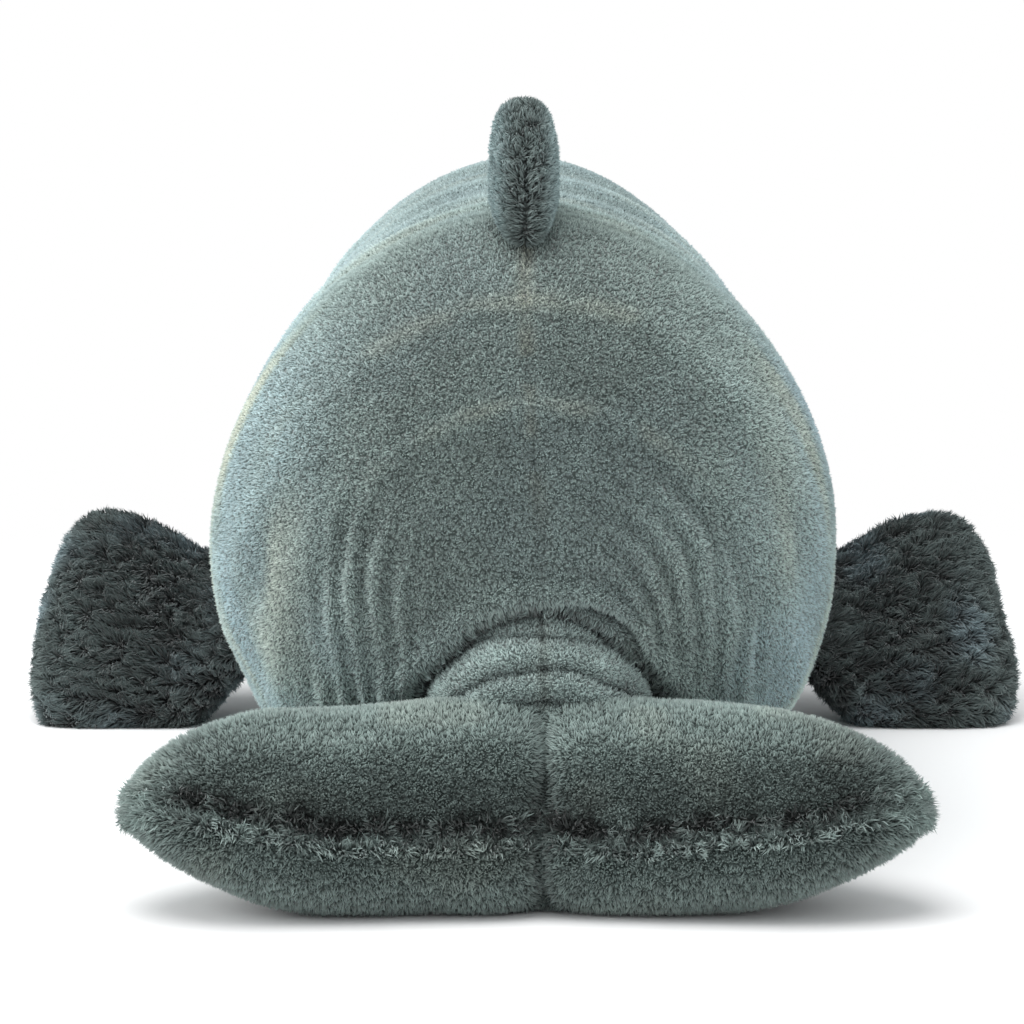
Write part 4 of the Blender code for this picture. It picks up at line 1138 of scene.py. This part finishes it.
def revolved(name, profile, place, outward, material, body_name, sides=40):
    """A turned piece: pairs of radius and height along an outward direction."""
    turn = np.array(Vector((0, 0, 1)).rotation_difference(Vector(outward)).to_matrix())
    angle = ring_angles(sides)
    rings = [place + np.stack([r * np.cos(angle), r * np.sin(angle), np.full(sides, h)], axis=1) @ turn.T
             for r, h in profile[1:-1]]
    start, end = (place + turn @ np.array([0, 0, profile[k][1]]) for k in (0, -1))
    form = Surface(np.stack(rings), start, end)
    piece = moving_piece(name, form.points, form.triangles, material, body_name)
    piece.data.set_sharp_from_angle(angle=math.radians(50))
    return piece


def tube(name, path, radius, material, body_name, sides=8):
    """A thread along a path, a little thicker and thinner by turns."""
    along_path = unit(np.gradient(path, axis=0))
    over = unit(np.cross(along_path, (0, 0, 1.0)))
    up = np.cross(over, along_path)
    angle = ring_angles(sides)[None, :, None]
    size = radius * (1 + 0.12 * np.sin(np.arange(len(path)) * 1.9))[:, None, None]
    form = Surface(path[:, None] + size * (over[:, None] * np.cos(angle) + up[:, None] * np.sin(angle)),
                   path[0], path[-1])
    moving_piece(name, form.points, form.triangles, material, body_name)


# The turned profile of an eye: its shank, a thin brim on the fabric, and a bead.
BEAD_STEPS = [QUARTER * k / 10 for k in range(1, 10)]
EYE_PROFILE = [(0, -SHANK_DEPTH), (2.0 * MM, -SHANK_DEPTH), (SHANK_RADIUS, 0.5 * MM - SHANK_DEPTH),
               (SHANK_RADIUS, 0.3 * MM), (6.0 * MM, 0.3 * MM), (EYE_RADIUS, 0.7 * MM), (EYE_RADIUS, 1.5 * MM),
               *[(EYE_RADIUS * 0.97 * math.cos(a), (1.8 + 4.5 * math.sin(a)) * MM) for a in BEAD_STEPS],
               (0, 6.3 * MM)]
for word, side in (("left", -1), ("right", 1)):
    off_place = np.abs(body.points[:, 1] - EYE_PLACE) + np.abs(body.points[:, 2] - EYE_HEIGHT)
    near = np.argmin(off_place + (np.sign(body.points[:, 0]) != side))
    bead = revolved("eye_bead_" + word, EYE_PROFILE, body.points[near], body.normals[near], eye_plastic,
                    "body")
    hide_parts("eye_" + word)
    washer = frame["nodes"]["eye_washer_" + word]
    washer.data.materials.clear()
    washer.data.materials.append(washer_plastic)
tube("mouth_thread", MOUTH, 0.8 * MM, thread, "body")


# Ground, light and camera


def mixed_shader(tree, share, first, second):
    return add_node(tree, "ShaderNodeMixShader", {0: share, 1: first, 2: second}).outputs[0]


def ground(reach):
    """A white plate that fades out round the whale, so that only its shadow shows."""
    made, tree, shader = new_material("ground")
    grain = in_object(tree, "ShaderNodeTexNoise", Scale=3.0, Detail=2.0)
    white = mix_colours(tree, grain.outputs["Fac"], (0.95, 0.95, 0.95), (0.97, 0.97, 0.97))
    feed(tree, shader, {"Base Color": white, "Roughness": 0.9, "Specular IOR Level": 0.1})
    place = add_node(tree, "ShaderNodeTexCoord")
    away = add_node(tree, "ShaderNodeVectorMath", {0: place.outputs["Object"]}, operation="LENGTH")
    fade = add_node(tree, "ShaderNodeMapRange", interpolation_type="SMOOTHSTEP")
    feed(tree, fade, {"Value": away.outputs["Value"], "From Min": 0.38, "From Max": 0.62})
    clear = add_node(tree, "ShaderNodeBsdfTransparent")
    blend = mixed_shader(tree, fade.outputs["Result"], shader.outputs[0], clear.outputs[0])
    feed(tree, tree.nodes["Material Output"], {"Surface": blend})
    corners = np.array([(-1, -1, 0), (1, -1, 0), (1, 1, 0), (-1, 1, 0)], float) * reach
    plate = mesh_object("ground", corners, np.array([(0, 1, 2, 3)]), smooth=False)
    plate.data.materials.append(made)


def lamp(name, place, target, size, power):
    data = bpy.data.lights.new(name, "AREA")
    data.shape = "DISK"
    data.size = size
    data.energy = power
    light = bpy.data.objects.new(name, data)
    light.location = place
    light.rotation_euler = (Vector(target) - Vector(place)).to_track_quat("-Z", "Y").to_euler()
    bpy.context.scene.collection.objects.link(light)


def world():
    """A soft sky that lights the whale, and plain white where it is seen."""
    sky = bpy.data.worlds.new("sky")
    sky.use_nodes = True
    tree = sky.node_tree
    light = tree.nodes["Background"]
    feed(tree, light, {"Color": (0.97, 0.985, 1.0), "Strength": 0.78})
    seen = add_node(tree, "ShaderNodeBackground", {"Color": (1, 1, 1), "Strength": 1.0})
    path = add_node(tree, "ShaderNodeLightPath")
    through = maths(tree, "MAXIMUM", path.outputs["Is Glossy Ray"], path.outputs["Is Transmission Ray"])
    rays = maths(tree, "MAXIMUM", path.outputs["Is Camera Ray"], through)
    mixed = mixed_shader(tree, rays, light.outputs[0], seen.outputs[0])
    feed(tree, tree.nodes["World Output"], {"Surface": mixed})
    bpy.context.scene.world = sky


def camera(place, downward, lens):
    data = bpy.data.cameras.new("camera")
    data.lens = lens
    data.sensor_width = 36
    data.clip_end = 50
    eye = bpy.data.objects.new("camera", data)
    eye.location = place
    eye.rotation_euler = (math.radians(90 - downward), 0, 0)
    bpy.context.scene.collection.objects.link(eye)
    bpy.context.scene.camera = eye


ground(6)
world()
camera((-0.0045, -1.413, 0.2904), downward=8.0, lens=126.6)
lamp("overhead", place=(-0.3, -0.4, 1.9), target=(0, 0, 0.05), size=1.6, power=24)
lamp("left", place=(-1.8, -0.6, 1.0), target=(0, 0, 0.1), size=1.2, power=16)
bpy.context.scene.view_settings.view_transform = "Standard"
